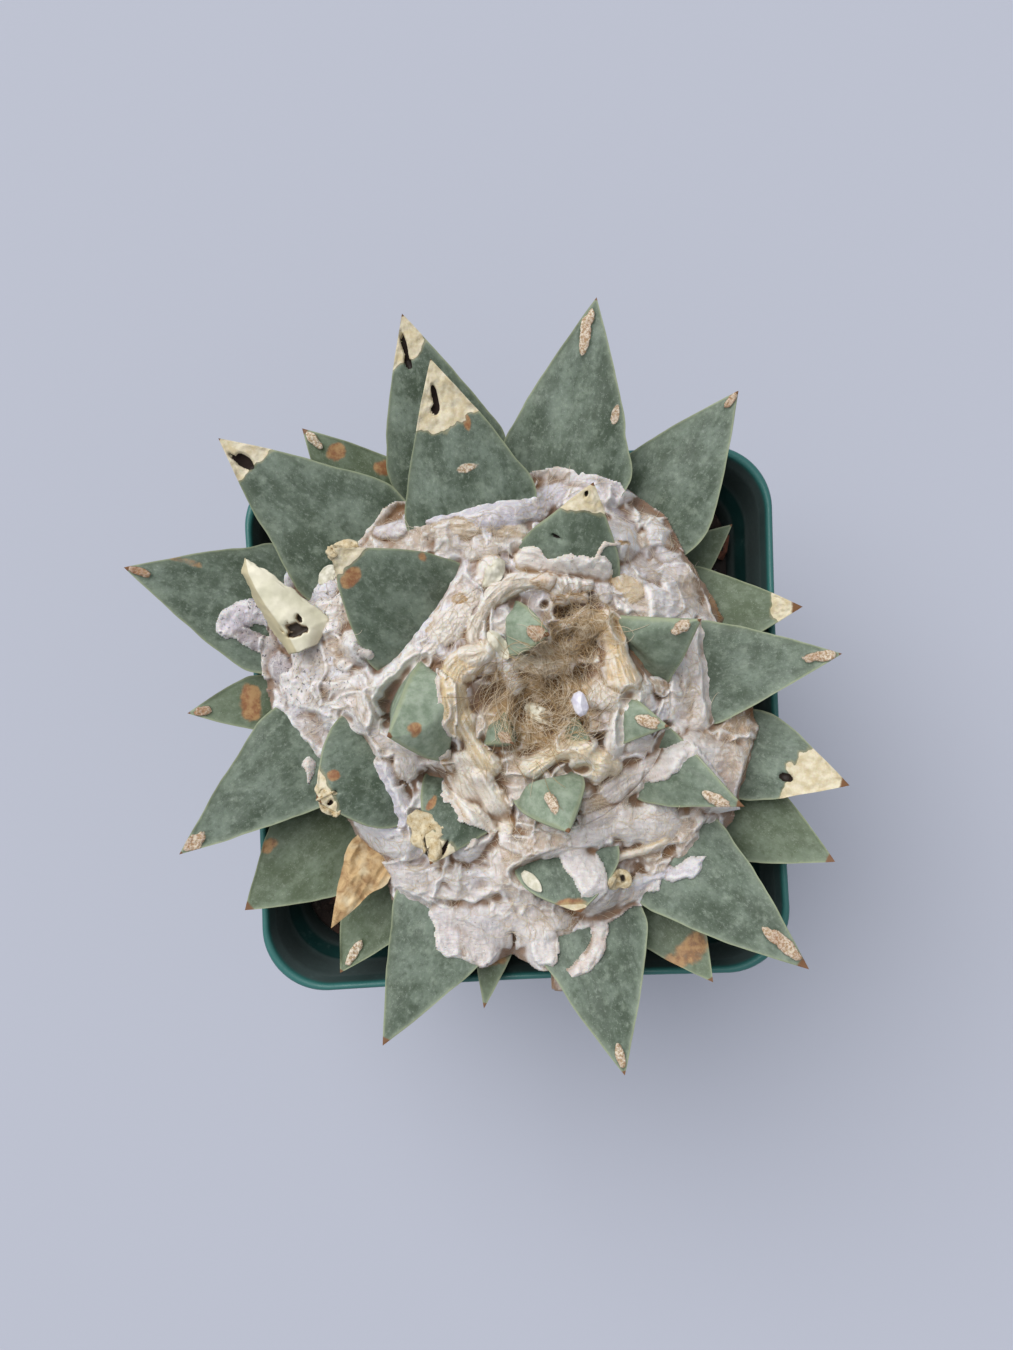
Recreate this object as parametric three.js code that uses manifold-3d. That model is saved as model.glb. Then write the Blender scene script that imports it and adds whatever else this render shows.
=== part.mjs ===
// A potted living-rock cactus: a low rosette of three-sided, leaf-like tubercles with matted wool between
// them, growing from a turnip-shaped stem in gritty mix, in a square plastic nursery pot.
// Millimetres, +Z up. The origin is the centre of the pot's foot, on the surface that the pot stands on.

import * as THREE from "three";
import { mergeVertices } from "three/addons/utils/BufferGeometryUtils.js";
import Module from "manifold-3d";

const wasm = await Module();
wasm.setup();

// ---- Driving dimensions ----

const GAP = 0.35; // free room between two pieces that touch in life

// The pot.
const POT_HEIGHT = 100;
const RIM_HALF = 53.5; // half the width across the rim
const FOOT_HALF = 38.5; // half the width across the foot
const RIM_BAND = 12; // height of the thicker band under the rim
const WALL = 1.2;
const LIP = 2; // thickness of the band at the rim
const FOOT_RIB = 2.5; // how far the floor stands off the surface
const FLOOR_TOP = 4.1;
const CORNER_SHARE = 0.24; // corner radius as a share of the half-width
const CORNER_STEPS = 6;
const HOLE_RADIUS = 3.5;
const HOLE_REACH = 25; // from the pot's centre to a drain hole, along X and Y

// The mix in the pot.
const SOIL_TOP = 83;
const SOIL_MOUND = 2.5; // how much higher the mix lies against the plant

// The plant stands a little off the pot's centre.
const PLANT_X = 2;
const PLANT_Y = 3.5;
const STEM_RADIUS = 29;
const STEM_RISE = 25; // from the widest place of the stem to its crown
const STEM_WAIST = 90; // height of that widest place
const STEM_SIDES = 20;

// The tubercles, numbered from 01 in this order. bearing: direction of the tip from the plant's axis, in
// degrees from +X. reach: distance of the tip from that axis. height: of the tip above the table. width: at
// the widest place. blade: from the tip back to that place. depth: of its keel. root: angle from the vertical
// at which the tubercle leaves the stem. swing: how far the root's bearing runs ahead of the tip's. roll:
// turn about its own length, which lifts the margin on the side of the greater bearing. bow: arch of its
// middle over the straight line. blunt: 1 tapers straight to the tip.
const UPPER_TIER = [
  { bearing: 78, reach: 75, height: 120, width: 25, blade: 30, root: 56, roll: -10 },
  { bearing: 53.5, reach: 70, height: 116, width: 23, blade: 25, root: 72, roll: -12 },
  { bearing: 6.5, reach: 57.5, height: 121, width: 20, blade: 25, root: 56, roll: -6 },
  { bearing: 343, reach: 62.5, height: 114, width: 18, blade: 18, root: 76, swing: 4 },
  { bearing: 314, reach: 70.5, height: 120, width: 22, blade: 30, root: 60, swing: -8 },
  { bearing: 282, reach: 70.5, height: 119, width: 22, blade: 26, root: 64, swing: 3 },
  { bearing: 244.5, reach: 69, height: 117, width: 22, blade: 26, root: 68, swing: 8 },
  { bearing: 201, reach: 70.5, height: 117, width: 22, blade: 30, root: 68, swing: -32 },
  { bearing: 159, reach: 79, height: 117, width: 25, blade: 27, root: 74, swing: -5 },
  { bearing: 137, reach: 74, height: 121, width: 26.5, blade: 30, root: 56, swing: -5 },
  { bearing: 105.5, reach: 75, height: 119, width: 24, blade: 27, root: 72, swing: 1 },
];

const MIDDLE_TIER = [
  { bearing: 103.5, reach: 63, height: 127, width: 25, blade: 27, root: 42, swing: 1 },
  { bearing: 139.5, reach: 43.5, height: 131, width: 25, blade: 21, root: 36, blunt: 1.5 },
  { bearing: 71.5, reach: 40, height: 129, width: 20, blade: 17, root: 38, blunt: 1.4 },
  { bearing: 24, reach: 33, height: 130, width: 16, blade: 15, root: 40, roll: 16 },
  { bearing: 332, reach: 42, height: 126, width: 15, blade: 19, root: 44, roll: 10 },
  { bearing: 281.5, reach: 39, height: 121, width: 20, blade: 10, root: 52, blunt: 2 },
  { bearing: 236, reach: 34, height: 122, width: 17, blade: 16, root: 42, swing: -4, blunt: 1.6 },
  { bearing: 202, reach: 42, height: 122, width: 23, blade: 12, root: 52, swing: -3, blunt: 2 },
];

const YOUNG_TIER = [
  {
    bearing: 190,
    reach: 25,
    height: 131,
    width: 19.5,
    depth: 10,
    blade: 15,
    root: 32,
    swing: -16,
    roll: -20,
    blunt: 1.8,
  },
  { bearing: 284.5, reach: 23, height: 130, width: 14, depth: 8, blade: 13, root: 30, swing: -5, blunt: 1.9 },
  { bearing: 348.5, reach: 24.5, height: 128, width: 9, depth: 5.5, blade: 9, root: 28 },
  { bearing: 72, reach: 12.5, height: 130, width: 10, depth: 6, blade: 11, root: 34, swing: 40, blunt: 2 },
  { bearing: 246, reach: 7.5, height: 127, width: 7, depth: 4.5, blade: 8, root: 16, swing: -30 },
  { bearing: 326, reach: 13, height: 125, width: 5, depth: 3, blade: 6, root: 16 },
];

const LOWER_TIER = [
  { bearing: 16.5, reach: 56.5, height: 108, width: 19, blade: 20, root: 84, swing: 18 },
  { bearing: 330, reach: 67, height: 109, width: 17, blade: 17, root: 88, swing: -2 },
  { bearing: 301, reach: 65, height: 109, width: 17, blade: 17, root: 86, swing: -4 },
  { bearing: 259.5, reach: 60.5, height: 107, width: 9, blade: 14, root: 88, swing: 2 },
  { bearing: 233, reach: 65, height: 105, width: 16, blade: 15, root: 90, swing: -5 },
  { bearing: 214, reach: 68.5, height: 107, width: 20, blade: 16, root: 82, swing: -6 },
  { bearing: 179.5, reach: 66, height: 108, width: 11, blade: 13, root: 84, swing: -10 },
  { bearing: 127, reach: 69, height: 107, width: 17, blade: 17, root: 88, swing: -8 },
  { bearing: 148, reach: 50, height: 95, width: 12, blade: 15, root: 100 },
  { bearing: 92, reach: 48, height: 98, width: 12, blade: 14, root: 96 },
  { bearing: 66, reach: 52, height: 98, width: 12, blade: 14, root: 96 },
  { bearing: 38, reach: 55, height: 99, width: 13, blade: 15, root: 96 },
];

// One has died and dried between two live ones.
const SHRIVELLED = {
  name: "shrivelled_tubercle",
  bearing: 226.5,
  reach: 57,
  height: 112,
  width: 10,
  blade: 14,
  root: 66,
  swing: -14,
  depth: 5,
};

// The split, bleached shell of a dead tubercle lies loose on the wool.
const HUSK = { bearing: 150.5, reach: 58, height: 119.5, width: 11, blade: 14, depth: 3, bow: 1 };
const HUSK_FOOT = { bearing: 163, reach: 41, height: 117 };

// A tubercle's neck as shares of the way to its widest place, of that half-width and of its depth.
const NECK = [
  [0, 0.35, 0.45],
  [0.5, 0.72, 0.8],
];
const BLADE = [0, 0.25, 0.5, 0.74, 0.92];
const TAPER = 1.24;
// Its section, anticlockwise from the tip: two sharp margins, a nearly flat upper face and a keel below.
const SECTION = [
  { across: -1, up: 0 },
  { across: -0.55, up: -0.6 },
  { across: 0, up: -1 },
  { across: 0.55, up: -0.6 },
  { across: 1, up: 0 },
  { across: 0.55, up: 0.75 },
  { across: 0, up: 1 },
  { across: -0.55, up: 0.75 },
];
const DEPTH_SHARE = 0.4; // keel depth as a share of the width
const CROWN_SHARE = 0.05; // rise of the upper face as a share of the width

// The wool: radius of its hem every 30 degrees from +X, and the height of its surface out from the axis.
const WOOL_HEM = [44, 46, 42, 41, 45, 53, 55, 47, 47, 52, 52, 46];
const WOOL_PROFILE = [
  [0, 119.5],
  [9, 121],
  [18, 120.5],
  [27, 117],
  [36, 113],
  [43, 109.5],
];
const WOOL_HEM_HEIGHT = 106.5;
const WOOL_UNDERSIDE = 101;
const WOOL_SIDES = 36;
const WOOL_LUMP = 1.2;

// ---- Tools ----

const radians = THREE.MathUtils.degToRad;
const materials = {
  plastic: new THREE.MeshStandardMaterial({ color: 0x0f3d3a, roughness: 0.45 }),
  mix: new THREE.MeshStandardMaterial({ color: 0x3b312c, roughness: 1 }),
  stem: new THREE.MeshStandardMaterial({ color: 0x8a7a5c, roughness: 0.9 }),
  tubercle: new THREE.MeshStandardMaterial({ color: 0x66806a, roughness: 0.6 }),
  dead: new THREE.MeshStandardMaterial({ color: 0xc89a58, roughness: 0.9 }),
  husk: new THREE.MeshStandardMaterial({ color: 0xe2dabd, roughness: 0.9 }),
  wool: new THREE.MeshStandardMaterial({ color: 0xd9d0c8, roughness: 1 }),
  pebble: new THREE.MeshStandardMaterial({ color: 0xe4e2ea, roughness: 0.4 }),
};

// A closed body through rings of points that all run the same way round, with a fan over each end.
function loft(rings) {
  const count = rings[0].length;
  const middle = (ring) => ring.reduce((sum, p) => sum.add(p), new THREE.Vector3()).divideScalar(count);
  const points = [...rings.flat(), middle(rings[0]), middle(rings.at(-1))];
  const start = points.length - 2;
  const end = points.length - 1;
  const last = (rings.length - 1) * count;
  const faces = [];
  for (let i = 0; i < count; i++) {
    const j = (i + 1) % count;
    for (let k = 0; k < last; k += count) {
      faces.push(k + i, k + j, k + count + j, k + i, k + count + j, k + count + i);
    }
    faces.push(start, j, i, end, last + i, last + j);
  }
  const geometry = new THREE.BufferGeometry().setFromPoints(points);
  geometry.setIndex(faces);
  return geometry;
}

function toSolid(geometry) {
  const bare = geometry.clone();
  bare.deleteAttribute("normal");
  bare.deleteAttribute("uv");
  const merged = mergeVertices(bare, 1e-3);
  return new wasm.Manifold(
    new wasm.Mesh({
      numProp: 3,
      vertProperties: merged.attributes.position.array,
      triVerts: new Uint32Array(merged.index.array),
    }),
  );
}

function toGeometry(solid) {
  const mesh = solid.getMesh();
  const geometry = new THREE.BufferGeometry();
  geometry.setAttribute("position", new THREE.BufferAttribute(mesh.vertProperties, 3));
  geometry.setIndex(new THREE.BufferAttribute(mesh.triVerts, 1));
  return geometry;
}

function largestBody(solid) {
  return solid.decompose().reduce((a, b) => (b.volume() > a.volume() ? b : a));
}

function named(name, geometry, material) {
  const mesh = new THREE.Mesh(geometry, material);
  mesh.name = name;
  geometry.computeVertexNormals();
  return mesh;
}

// A small repeatable wave over a surface, between -1 and 1.
function ripple(x, y) {
  return 0.5 * Math.sin(0.31 * x + 1.7) * Math.cos(0.27 * y - 0.6) + 0.5 * Math.sin(0.13 * x - 0.19 * y);
}

// ---- The pot ----

// One rounded square, anticlockwise from above.
function roundedSquare(half, height) {
  const radius = half * CORNER_SHARE;
  const ring = [];
  for (let corner = 0; corner < 4; corner++) {
    const turn = (corner * Math.PI) / 2;
    const centre = new THREE.Vector3(half - radius, half - radius, height);
    for (let step = 0; step <= CORNER_STEPS; step++) {
      const angle = (step / CORNER_STEPS) * (Math.PI / 2);
      const point = new THREE.Vector3(Math.cos(angle), Math.sin(angle), 0).multiplyScalar(radius);
      ring.push(point.add(centre).applyAxisAngle(new THREE.Vector3(0, 0, 1), turn));
    }
  }
  return ring;
}

const bandFoot = POT_HEIGHT - RIM_BAND;
const taper = (RIM_HALF - LIP - FOOT_HALF) / POT_HEIGHT;
const innerHalf = (z) => FOOT_HALF + taper * z - WALL + (LIP - WALL) * THREE.MathUtils.smoothstep(z, 0, 100);

function makePot() {
  const outside = loft([
    roundedSquare(FOOT_HALF, 0),
    roundedSquare(FOOT_HALF + taper * bandFoot, bandFoot),
    roundedSquare(RIM_HALF - taper * RIM_BAND, bandFoot + 1),
    roundedSquare(RIM_HALF, POT_HEIGHT - 1.2),
    roundedSquare(RIM_HALF - 0.6, POT_HEIGHT),
  ]);
  const cavity = loft([
    roundedSquare(innerHalf(FLOOR_TOP), FLOOR_TOP),
    roundedSquare(innerHalf(bandFoot), bandFoot),
    roundedSquare(RIM_HALF - LIP, POT_HEIGHT - 1),
    roundedSquare(RIM_HALF - LIP + 0.7, POT_HEIGHT + 0.2),
  ]);
  let pot = toSolid(outside).subtract(toSolid(cavity));
  // A cross and a ring under the floor carry the pot; the four pockets between them drain.
  const pocketSide = FOOT_HALF - 7;
  for (const [sx, sy] of [[1, 1], [-1, 1], [-1, -1], [1, -1]]) {
    const pocket = new THREE.BoxGeometry(pocketSide, pocketSide, 2 * FOOT_RIB);
    pocket.translate(sx * (pocketSide / 2 + 3), sy * (pocketSide / 2 + 3), 0);
    const hole = new THREE.CylinderGeometry(HOLE_RADIUS, HOLE_RADIUS, 20, 14);
    hole.rotateX(Math.PI / 2).translate(sx * HOLE_REACH, sy * HOLE_REACH, 0);
    pot = pot.subtract(toSolid(pocket)).subtract(toSolid(hole));
  }
  return named("pot", toGeometry(pot), materials.plastic);
}

// ---- The plant's pieces, as plain solids first, because the mix, stem and wool are cut to fit them ----

// A tubercle grown by a margin on every side, which is 0 for the real piece and GAP for a cutter.
function tubercleGeometry(piece, root, tip, margin = 0) {
  const along = tip.clone().sub(root).normalize();
  const bearing = Math.atan2(along.y, along.x);
  const across = new THREE.Vector3(-Math.sin(bearing), Math.cos(bearing), 0);
  across.applyAxisAngle(along, radians(piece.roll ?? 0));
  const up = along.clone().cross(across);
  const length = root.distanceTo(tip);
  const widest = 1 - piece.blade / length;
  const taper = piece.blunt ?? TAPER;
  const stations = [
    ...NECK.map(([share, wide, deep]) => [share * widest, wide, deep]),
    ...BLADE.map((u) => [widest + u * (1 - widest), 1 - u ** taper, 1 - u ** 1.15]),
  ];
  const depth = piece.depth ?? piece.width * DEPTH_SHARE;
  const rings = stations.map(([share, wide, deep], station) =>
    SECTION.map((corner) => {
      const rise = corner.up > 0 ? piece.width * CROWN_SHARE * wide : depth * deep;
      const arch = (piece.bow ?? 2) * 4 * share * (1 - share);
      return root
        .clone()
        .addScaledVector(along, share * length - (station === 0 ? margin : 0))
        .addScaledVector(across, corner.across * ((piece.width / 2) * wide + 1.5 * margin))
        .addScaledVector(up, corner.up * (rise + margin) + arch);
    }),
  );
  const body = loft(rings);
  const position = body.getAttribute("position");
  const end = tip.clone().addScaledVector(along, 2.5 * margin);
  position.setXYZ(position.count - 1, end.x, end.y, end.z);
  return body;
}

function onStem(bearing, angle, extra = 0) {
  const side = Math.sin(radians(angle)) * (STEM_RADIUS + extra);
  return new THREE.Vector3(
    PLANT_X + side * Math.cos(radians(bearing)),
    PLANT_Y + side * Math.sin(radians(bearing)),
    STEM_WAIST + Math.cos(radians(angle)) * (STEM_RISE + extra),
  );
}

function fromAxis(bearing, reach, height) {
  return new THREE.Vector3(
    PLANT_X + reach * Math.cos(radians(bearing)),
    PLANT_Y + reach * Math.sin(radians(bearing)),
    height,
  );
}

const living = [...UPPER_TIER, ...MIDDLE_TIER, ...YOUNG_TIER, ...LOWER_TIER].map((piece, index) => ({
  name: `tubercle_${String(index + 1).padStart(2, "0")}`,
  ...piece,
}));

const growing = [...living, SHRIVELLED].map((piece) => {
  const root = onStem(piece.bearing + (piece.swing ?? 0), piece.root, -1);
  const tip = fromAxis(piece.bearing, piece.reach, piece.height);
  return {
    name: piece.name,
    geometry: tubercleGeometry(piece, root, tip),
    cutter: toSolid(tubercleGeometry(piece, root, tip, GAP)),
  };
});

const huskRoot = fromAxis(HUSK_FOOT.bearing, HUSK_FOOT.reach, HUSK_FOOT.height);
const huskTip = fromAxis(HUSK.bearing, HUSK.reach, HUSK.height);
const husk = {
  geometry: tubercleGeometry(HUSK, huskRoot, huskTip),
  cutter: toSolid(tubercleGeometry(HUSK, huskRoot, huskTip, GAP)),
};

// ---- Stem and mix ----

function stemGeometry(margin) {
  const profile = [
    [0, 18],
    [7, 26],
    [13, 44],
    [21, 64],
    [27, 80],
    [STEM_RADIUS, STEM_WAIST],
  ];
  for (const angle of [72, 54, 36, 18]) {
    profile.push([
      STEM_RADIUS * Math.sin(radians(angle)),
      STEM_WAIST + STEM_RISE * Math.cos(radians(angle)),
    ]);
  }
  profile.push([0, STEM_WAIST + STEM_RISE]);
  const points = profile.map(([r, z], i) => {
    const end = i === 0 ? -margin : i === profile.length - 1 ? margin : 0;
    return new THREE.Vector2(r === 0 ? 0 : r + margin, z + end);
  });
  const geometry = new THREE.LatheGeometry(points, STEM_SIDES);
  geometry.rotateX(Math.PI / 2);
  geometry.translate(PLANT_X, PLANT_Y, 0);
  return geometry;
}

function makeStem() {
  let stem = toSolid(stemGeometry(0));
  for (const piece of growing) stem = stem.subtract(piece.cutter);
  return named("stem", toGeometry(largestBody(stem)), materials.stem);
}

function makeSoil() {
  const layer = (z) => roundedSquare(innerHalf(z) - GAP, z);
  const rings = [layer(FLOOR_TOP + GAP), layer(40), layer(SOIL_TOP - 1)];
  for (const share of [0.97, 0.8, 0.62, 0.46]) {
    rings.push(
      roundedSquare((innerHalf(SOIL_TOP) - GAP) * share, 0).map((p) => {
        const nearness = 1 - p.length() / RIM_HALF;
        return p.setZ(SOIL_TOP + SOIL_MOUND * Math.max(0, nearness) + 0.8 * ripple(3 * p.x, 3 * p.y));
      }),
    );
  }
  let soil = toSolid(loft(rings)).subtract(toSolid(stemGeometry(GAP)));
  for (const piece of growing) soil = soil.subtract(piece.cutter);
  return named("growing_mix", toGeometry(largestBody(soil)), materials.mix);
}

// ---- Wool ----

const hemCurve = new THREE.CatmullRomCurve3(
  WOOL_HEM.map((radius, i) => fromAxis(i * 30, radius, 0).sub(fromAxis(0, 0, 0))),
  true,
);

function woolHeight(radius, hem) {
  const profile = [...WOOL_PROFILE, [hem, WOOL_HEM_HEIGHT]];
  const next = Math.max(1, profile.findIndex(([r]) => r >= radius - 1e-6));
  const [r0, z0] = profile[next - 1];
  const [r1, z1] = profile[next];
  return THREE.MathUtils.lerp(z0, z1, (radius - r0) / Math.max(r1 - r0, 1e-6));
}

function makeWool() {
  const hem = Array.from({ length: WOOL_SIDES }, (_, i) => hemCurve.getPoint(i / WOOL_SIDES).setZ(0));
  const axis = fromAxis(0, 0, 0);
  const ringAt = (share, height) =>
    hem.map((edge) => {
      const p = edge.clone().multiplyScalar(share);
      return p.setZ(height(p, edge.length())).add(axis);
    });
  const top = (p, edge) =>
    woolHeight(Math.min(p.length(), edge), Math.max(edge, 43.5)) + WOOL_LUMP * ripple(2.2 * p.x, 2.2 * p.y);
  const rings = [
    ringAt(0.45, () => WOOL_UNDERSIDE - 1),
    ringAt(0.8, () => WOOL_UNDERSIDE),
    ringAt(0.96, () => WOOL_UNDERSIDE + 3),
    ringAt(1, () => WOOL_HEM_HEIGHT - 1.5),
  ];
  for (const share of [0.94, 0.8, 0.62, 0.44, 0.26, 0.1]) rings.push(ringAt(share, top));
  let wool = toSolid(loft(rings)).subtract(toSolid(stemGeometry(GAP)));
  for (const piece of growing) wool = wool.subtract(piece.cutter);
  wool = wool.subtract(husk.cutter);
  return named("matted_wool", toGeometry(largestBody(wool)), materials.wool);
}

// ---- Assembly ----

const cactus = new THREE.Group();
cactus.add(makePot(), makeSoil(), makeStem(), makeWool());
for (const piece of growing) {
  const finish = piece.name === SHRIVELLED.name ? materials.dead : materials.tubercle;
  cactus.add(named(piece.name, piece.geometry, finish));
}
cactus.add(named("bleached_husk", husk.geometry, materials.husk));

const pebble = new THREE.IcosahedronGeometry(2.1, 0);
pebble.scale(0.85, 1.15, 0.9);
pebble.translate(PLANT_X + 8.8, PLANT_Y - 0.3, 127.5);
cactus.add(named("quartz_pebble", pebble, materials.pebble));

export default cactus;
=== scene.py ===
import math

import bmesh
import bpy
import numpy as np
from mathutils import Matrix, Vector


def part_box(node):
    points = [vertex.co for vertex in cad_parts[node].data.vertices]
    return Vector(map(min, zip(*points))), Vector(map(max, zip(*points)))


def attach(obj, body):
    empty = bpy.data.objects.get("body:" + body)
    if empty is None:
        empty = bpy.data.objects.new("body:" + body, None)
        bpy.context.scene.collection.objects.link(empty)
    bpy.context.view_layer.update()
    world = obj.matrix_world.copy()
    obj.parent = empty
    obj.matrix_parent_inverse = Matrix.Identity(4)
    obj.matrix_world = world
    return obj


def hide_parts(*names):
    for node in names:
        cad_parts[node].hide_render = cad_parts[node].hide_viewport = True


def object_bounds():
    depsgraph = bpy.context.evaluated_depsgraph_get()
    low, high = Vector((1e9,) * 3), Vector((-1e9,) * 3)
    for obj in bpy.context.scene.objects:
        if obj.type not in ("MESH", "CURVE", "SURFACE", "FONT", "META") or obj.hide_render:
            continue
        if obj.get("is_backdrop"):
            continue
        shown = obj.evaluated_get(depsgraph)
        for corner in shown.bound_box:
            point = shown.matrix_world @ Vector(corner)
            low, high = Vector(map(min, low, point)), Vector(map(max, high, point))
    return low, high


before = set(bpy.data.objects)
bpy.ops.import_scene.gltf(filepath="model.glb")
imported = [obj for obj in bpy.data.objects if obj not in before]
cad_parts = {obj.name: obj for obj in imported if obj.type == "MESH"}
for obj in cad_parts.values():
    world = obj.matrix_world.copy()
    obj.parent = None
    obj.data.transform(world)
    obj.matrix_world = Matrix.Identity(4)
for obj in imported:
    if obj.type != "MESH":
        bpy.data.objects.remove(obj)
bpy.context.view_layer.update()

# ---------------------------------------------------------------------------------------------------
# The pot: a square, tapered nursery pot injection-moulded in dark green polypropylene, about 1.2 mm
# thick, with a stiffer band and a rounded lip. It stands on a cross and a ring under its floor.
# Here and below, sizes are in millimetres from the centre of the foot, and +Z is up.
# ---------------------------------------------------------------------------------------------------
MM = 0.001
RIM_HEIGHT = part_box("pot")[1].z / MM
RIM_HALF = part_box("pot")[1].x / MM
FOOT_HALF = 38.5
WALL = 1.2
LIP = 1.5
BAND = 12.0
TAPER = (RIM_HALF - 2 - FOOT_HALF) / RIM_HEIGHT
CORNER_SHARE = 0.24
CORNER_STEPS = 18
SIDE_STEPS = 10


def rounded_square(half, height):
    """One closed ring, anticlockwise from above."""
    radius = half * CORNER_SHARE
    angles = np.linspace(0, math.pi / 2, CORNER_STEPS + 1)
    arc = np.column_stack([np.cos(angles), np.sin(angles)]) * radius + (half - radius)
    side = np.linspace(arc[-1], [-(half - radius), half], SIDE_STEPS + 1)[1:-1]
    quarter = np.vstack([arc, side])
    ring = []
    for turn in range(4):
        c, s = round(math.cos(turn * math.pi / 2)), round(math.sin(turn * math.pi / 2))
        ring.append(quarter @ np.array([[c, s], [-s, c]]))
    ring = np.vstack(ring)
    return np.column_stack([ring, np.full(len(ring), height)])


def pot_profile():
    """(half-width, height) from the middle of the foot, up the outside and down the inside."""
    band_foot = RIM_HEIGHT - BAND
    body = lambda z: FOOT_HALF + TAPER * z
    outside = [(FOOT_HALF - 1.2, 0), (FOOT_HALF - 0.5, 0.15), (FOOT_HALF - 0.1, 0.6),
               (FOOT_HALF + 0.1, 1.4)]
    outside += [(body(z), z) for z in np.linspace(3, band_foot - 1.2, 24)]
    outside += [(body(band_foot) + 0.15, band_foot - 0.5), (body(band_foot) + 0.7, band_foot - 0.05)]
    outside += [(body(band_foot) + 1.5, band_foot + 0.1), (body(band_foot) + 1.95, band_foot + 0.6)]
    outside += [(RIM_HALF - 0.9 - TAPER * (RIM_HEIGHT - z), z)
                for z in np.linspace(band_foot + 1.6, RIM_HEIGHT - 3.6, 8)]
    lip = [(RIM_HALF - 0.55, RIM_HEIGHT - 2.9), (RIM_HALF - 0.15, RIM_HEIGHT - 2.3),
           (RIM_HALF, RIM_HEIGHT - 1.4), (RIM_HALF - 0.08, RIM_HEIGHT - 0.6),
           (RIM_HALF - 0.35, RIM_HEIGHT - 0.15),
           (RIM_HALF - 0.75, RIM_HEIGHT), (RIM_HALF - 1.15, RIM_HEIGHT - 0.15),
           (RIM_HALF - 1.4, RIM_HEIGHT - 0.5), (RIM_HALF - LIP, RIM_HEIGHT - 1.2)]
    inside = [(RIM_HALF - LIP - 0.3 - TAPER * (RIM_HEIGHT - z), z)
              for z in np.linspace(RIM_HEIGHT - 2.5, band_foot + 1.5, 6)]
    inside += [(body(band_foot) - 0.1, band_foot + 0.2), (body(band_foot) - WALL, band_foot - 1.2)]
    inside += [(body(z) - WALL, z) for z in np.linspace(band_foot - 4, 6.5, 16)]
    inside += [(body(5) - WALL - 0.5, 5.0), (body(4) - WALL - 1.8, 4.1)]
    return outside + lip + inside


def skin_rings(rings, cap_start=True, cap_end=True):
    """Points and quads (with triangle fans at the ends) through closed rings of equal count."""
    count, total = len(rings[0]), len(rings)
    points = np.concatenate(rings)
    i = np.arange(count)
    j = (i + 1) % count
    quads = np.concatenate([np.column_stack([k * count + i, k * count + j, (k + 1) * count + j,
                                             (k + 1) * count + i]) for k in range(total - 1)])
    fans = []
    if cap_start:
        points = np.vstack([points, rings[0].mean(0)])
        fans.append(np.column_stack([np.full(count, len(points) - 1), j, i]))
    if cap_end:
        points = np.vstack([points, rings[-1].mean(0)])
        base = (total - 1) * count
        fans.append(np.column_stack([np.full(count, len(points) - 1), base + i, base + j]))
    return points, [quads] + ([np.concatenate(fans)] if fans else [])


def step(low, high, x):
    """0 below low, 1 above high, smooth between."""
    t = np.clip((x - low) / (high - low), 0, 1)
    return t * t * (3 - 2 * t)


rings = [rounded_square(h, z) for h, z in pot_profile()]
points, faces = skin_rings(rings)
# The wall of a thin moulding is never quite flat: it bows in by a few tenths of a millimetre.
bow = np.maximum(0, 1 - (np.minimum(abs(points[:, 0]), abs(points[:, 1])) / 40) ** 2)
reach = np.maximum(np.hypot(points[:, 0], points[:, 1]), 1)
pull = 0.5 * bow * step(20, 90, points[:, 2]) * (reach > 30)
points[:, :2] *= (1 - pull / reach)[:, None]


def linear(colour):
    """An sRGB hex colour as the linear RGBA that shaders work in."""
    parts = [int(colour[i : i + 2], 16) / 255 for i in (1, 3, 5)]
    parts = [c / 12.92 if c <= 0.04045 else ((c + 0.055) / 1.055) ** 2.4 for c in parts]
    return (*parts, 1.0)


def add(tree, kind, *inputs, output=None, **settings):
    """One node with its settings and links, and the output that it is wanted for. Inputs fill the node's
    own sockets in order: a number, a hex colour or another node's output, and None leaves one as it is."""
    node = tree.nodes.new("ShaderNode" + kind)
    for key, value in settings.items():
        setattr(node, key, value)
    for socket, value in zip([s for s in node.inputs if s.enabled], inputs):
        if isinstance(value, bpy.types.NodeSocket):
            tree.links.new(value, socket)
        elif value is not None:
            socket.default_value = linear(value) if isinstance(value, str) else value
    return node.outputs[output] if output else next(s for s in node.outputs if s.enabled)


def laid_over(tree, colour, *layers):
    """A colour with others laid over it: (pattern, where it starts, where it is full, how much, colour)."""
    for pattern, start, full, share, over in layers:
        cover = add(tree, "MapRange", pattern, start, full, 0.0, share, interpolation_type="SMOOTHSTEP")
        colour = add(tree, "Mix", cover, colour, over, data_type="RGBA")
    return colour


def begin(name):
    """A new material with its tree, its shader and the place on the piece in millimetres. A pattern takes
    1 / its size in millimetres as its scale."""
    material = bpy.data.materials.new(name)
    material.use_nodes = True
    tree = material.node_tree
    place = add(tree, "TexCoord", output="Object")
    in_mm = add(tree, "VectorMath", place, (1000, 1000, 1000), operation="MULTIPLY")
    return material, tree, tree.nodes["Principled BSDF"], in_mm


moulded, tree, shader, at = begin("moulded_green_polypropylene")
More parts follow.
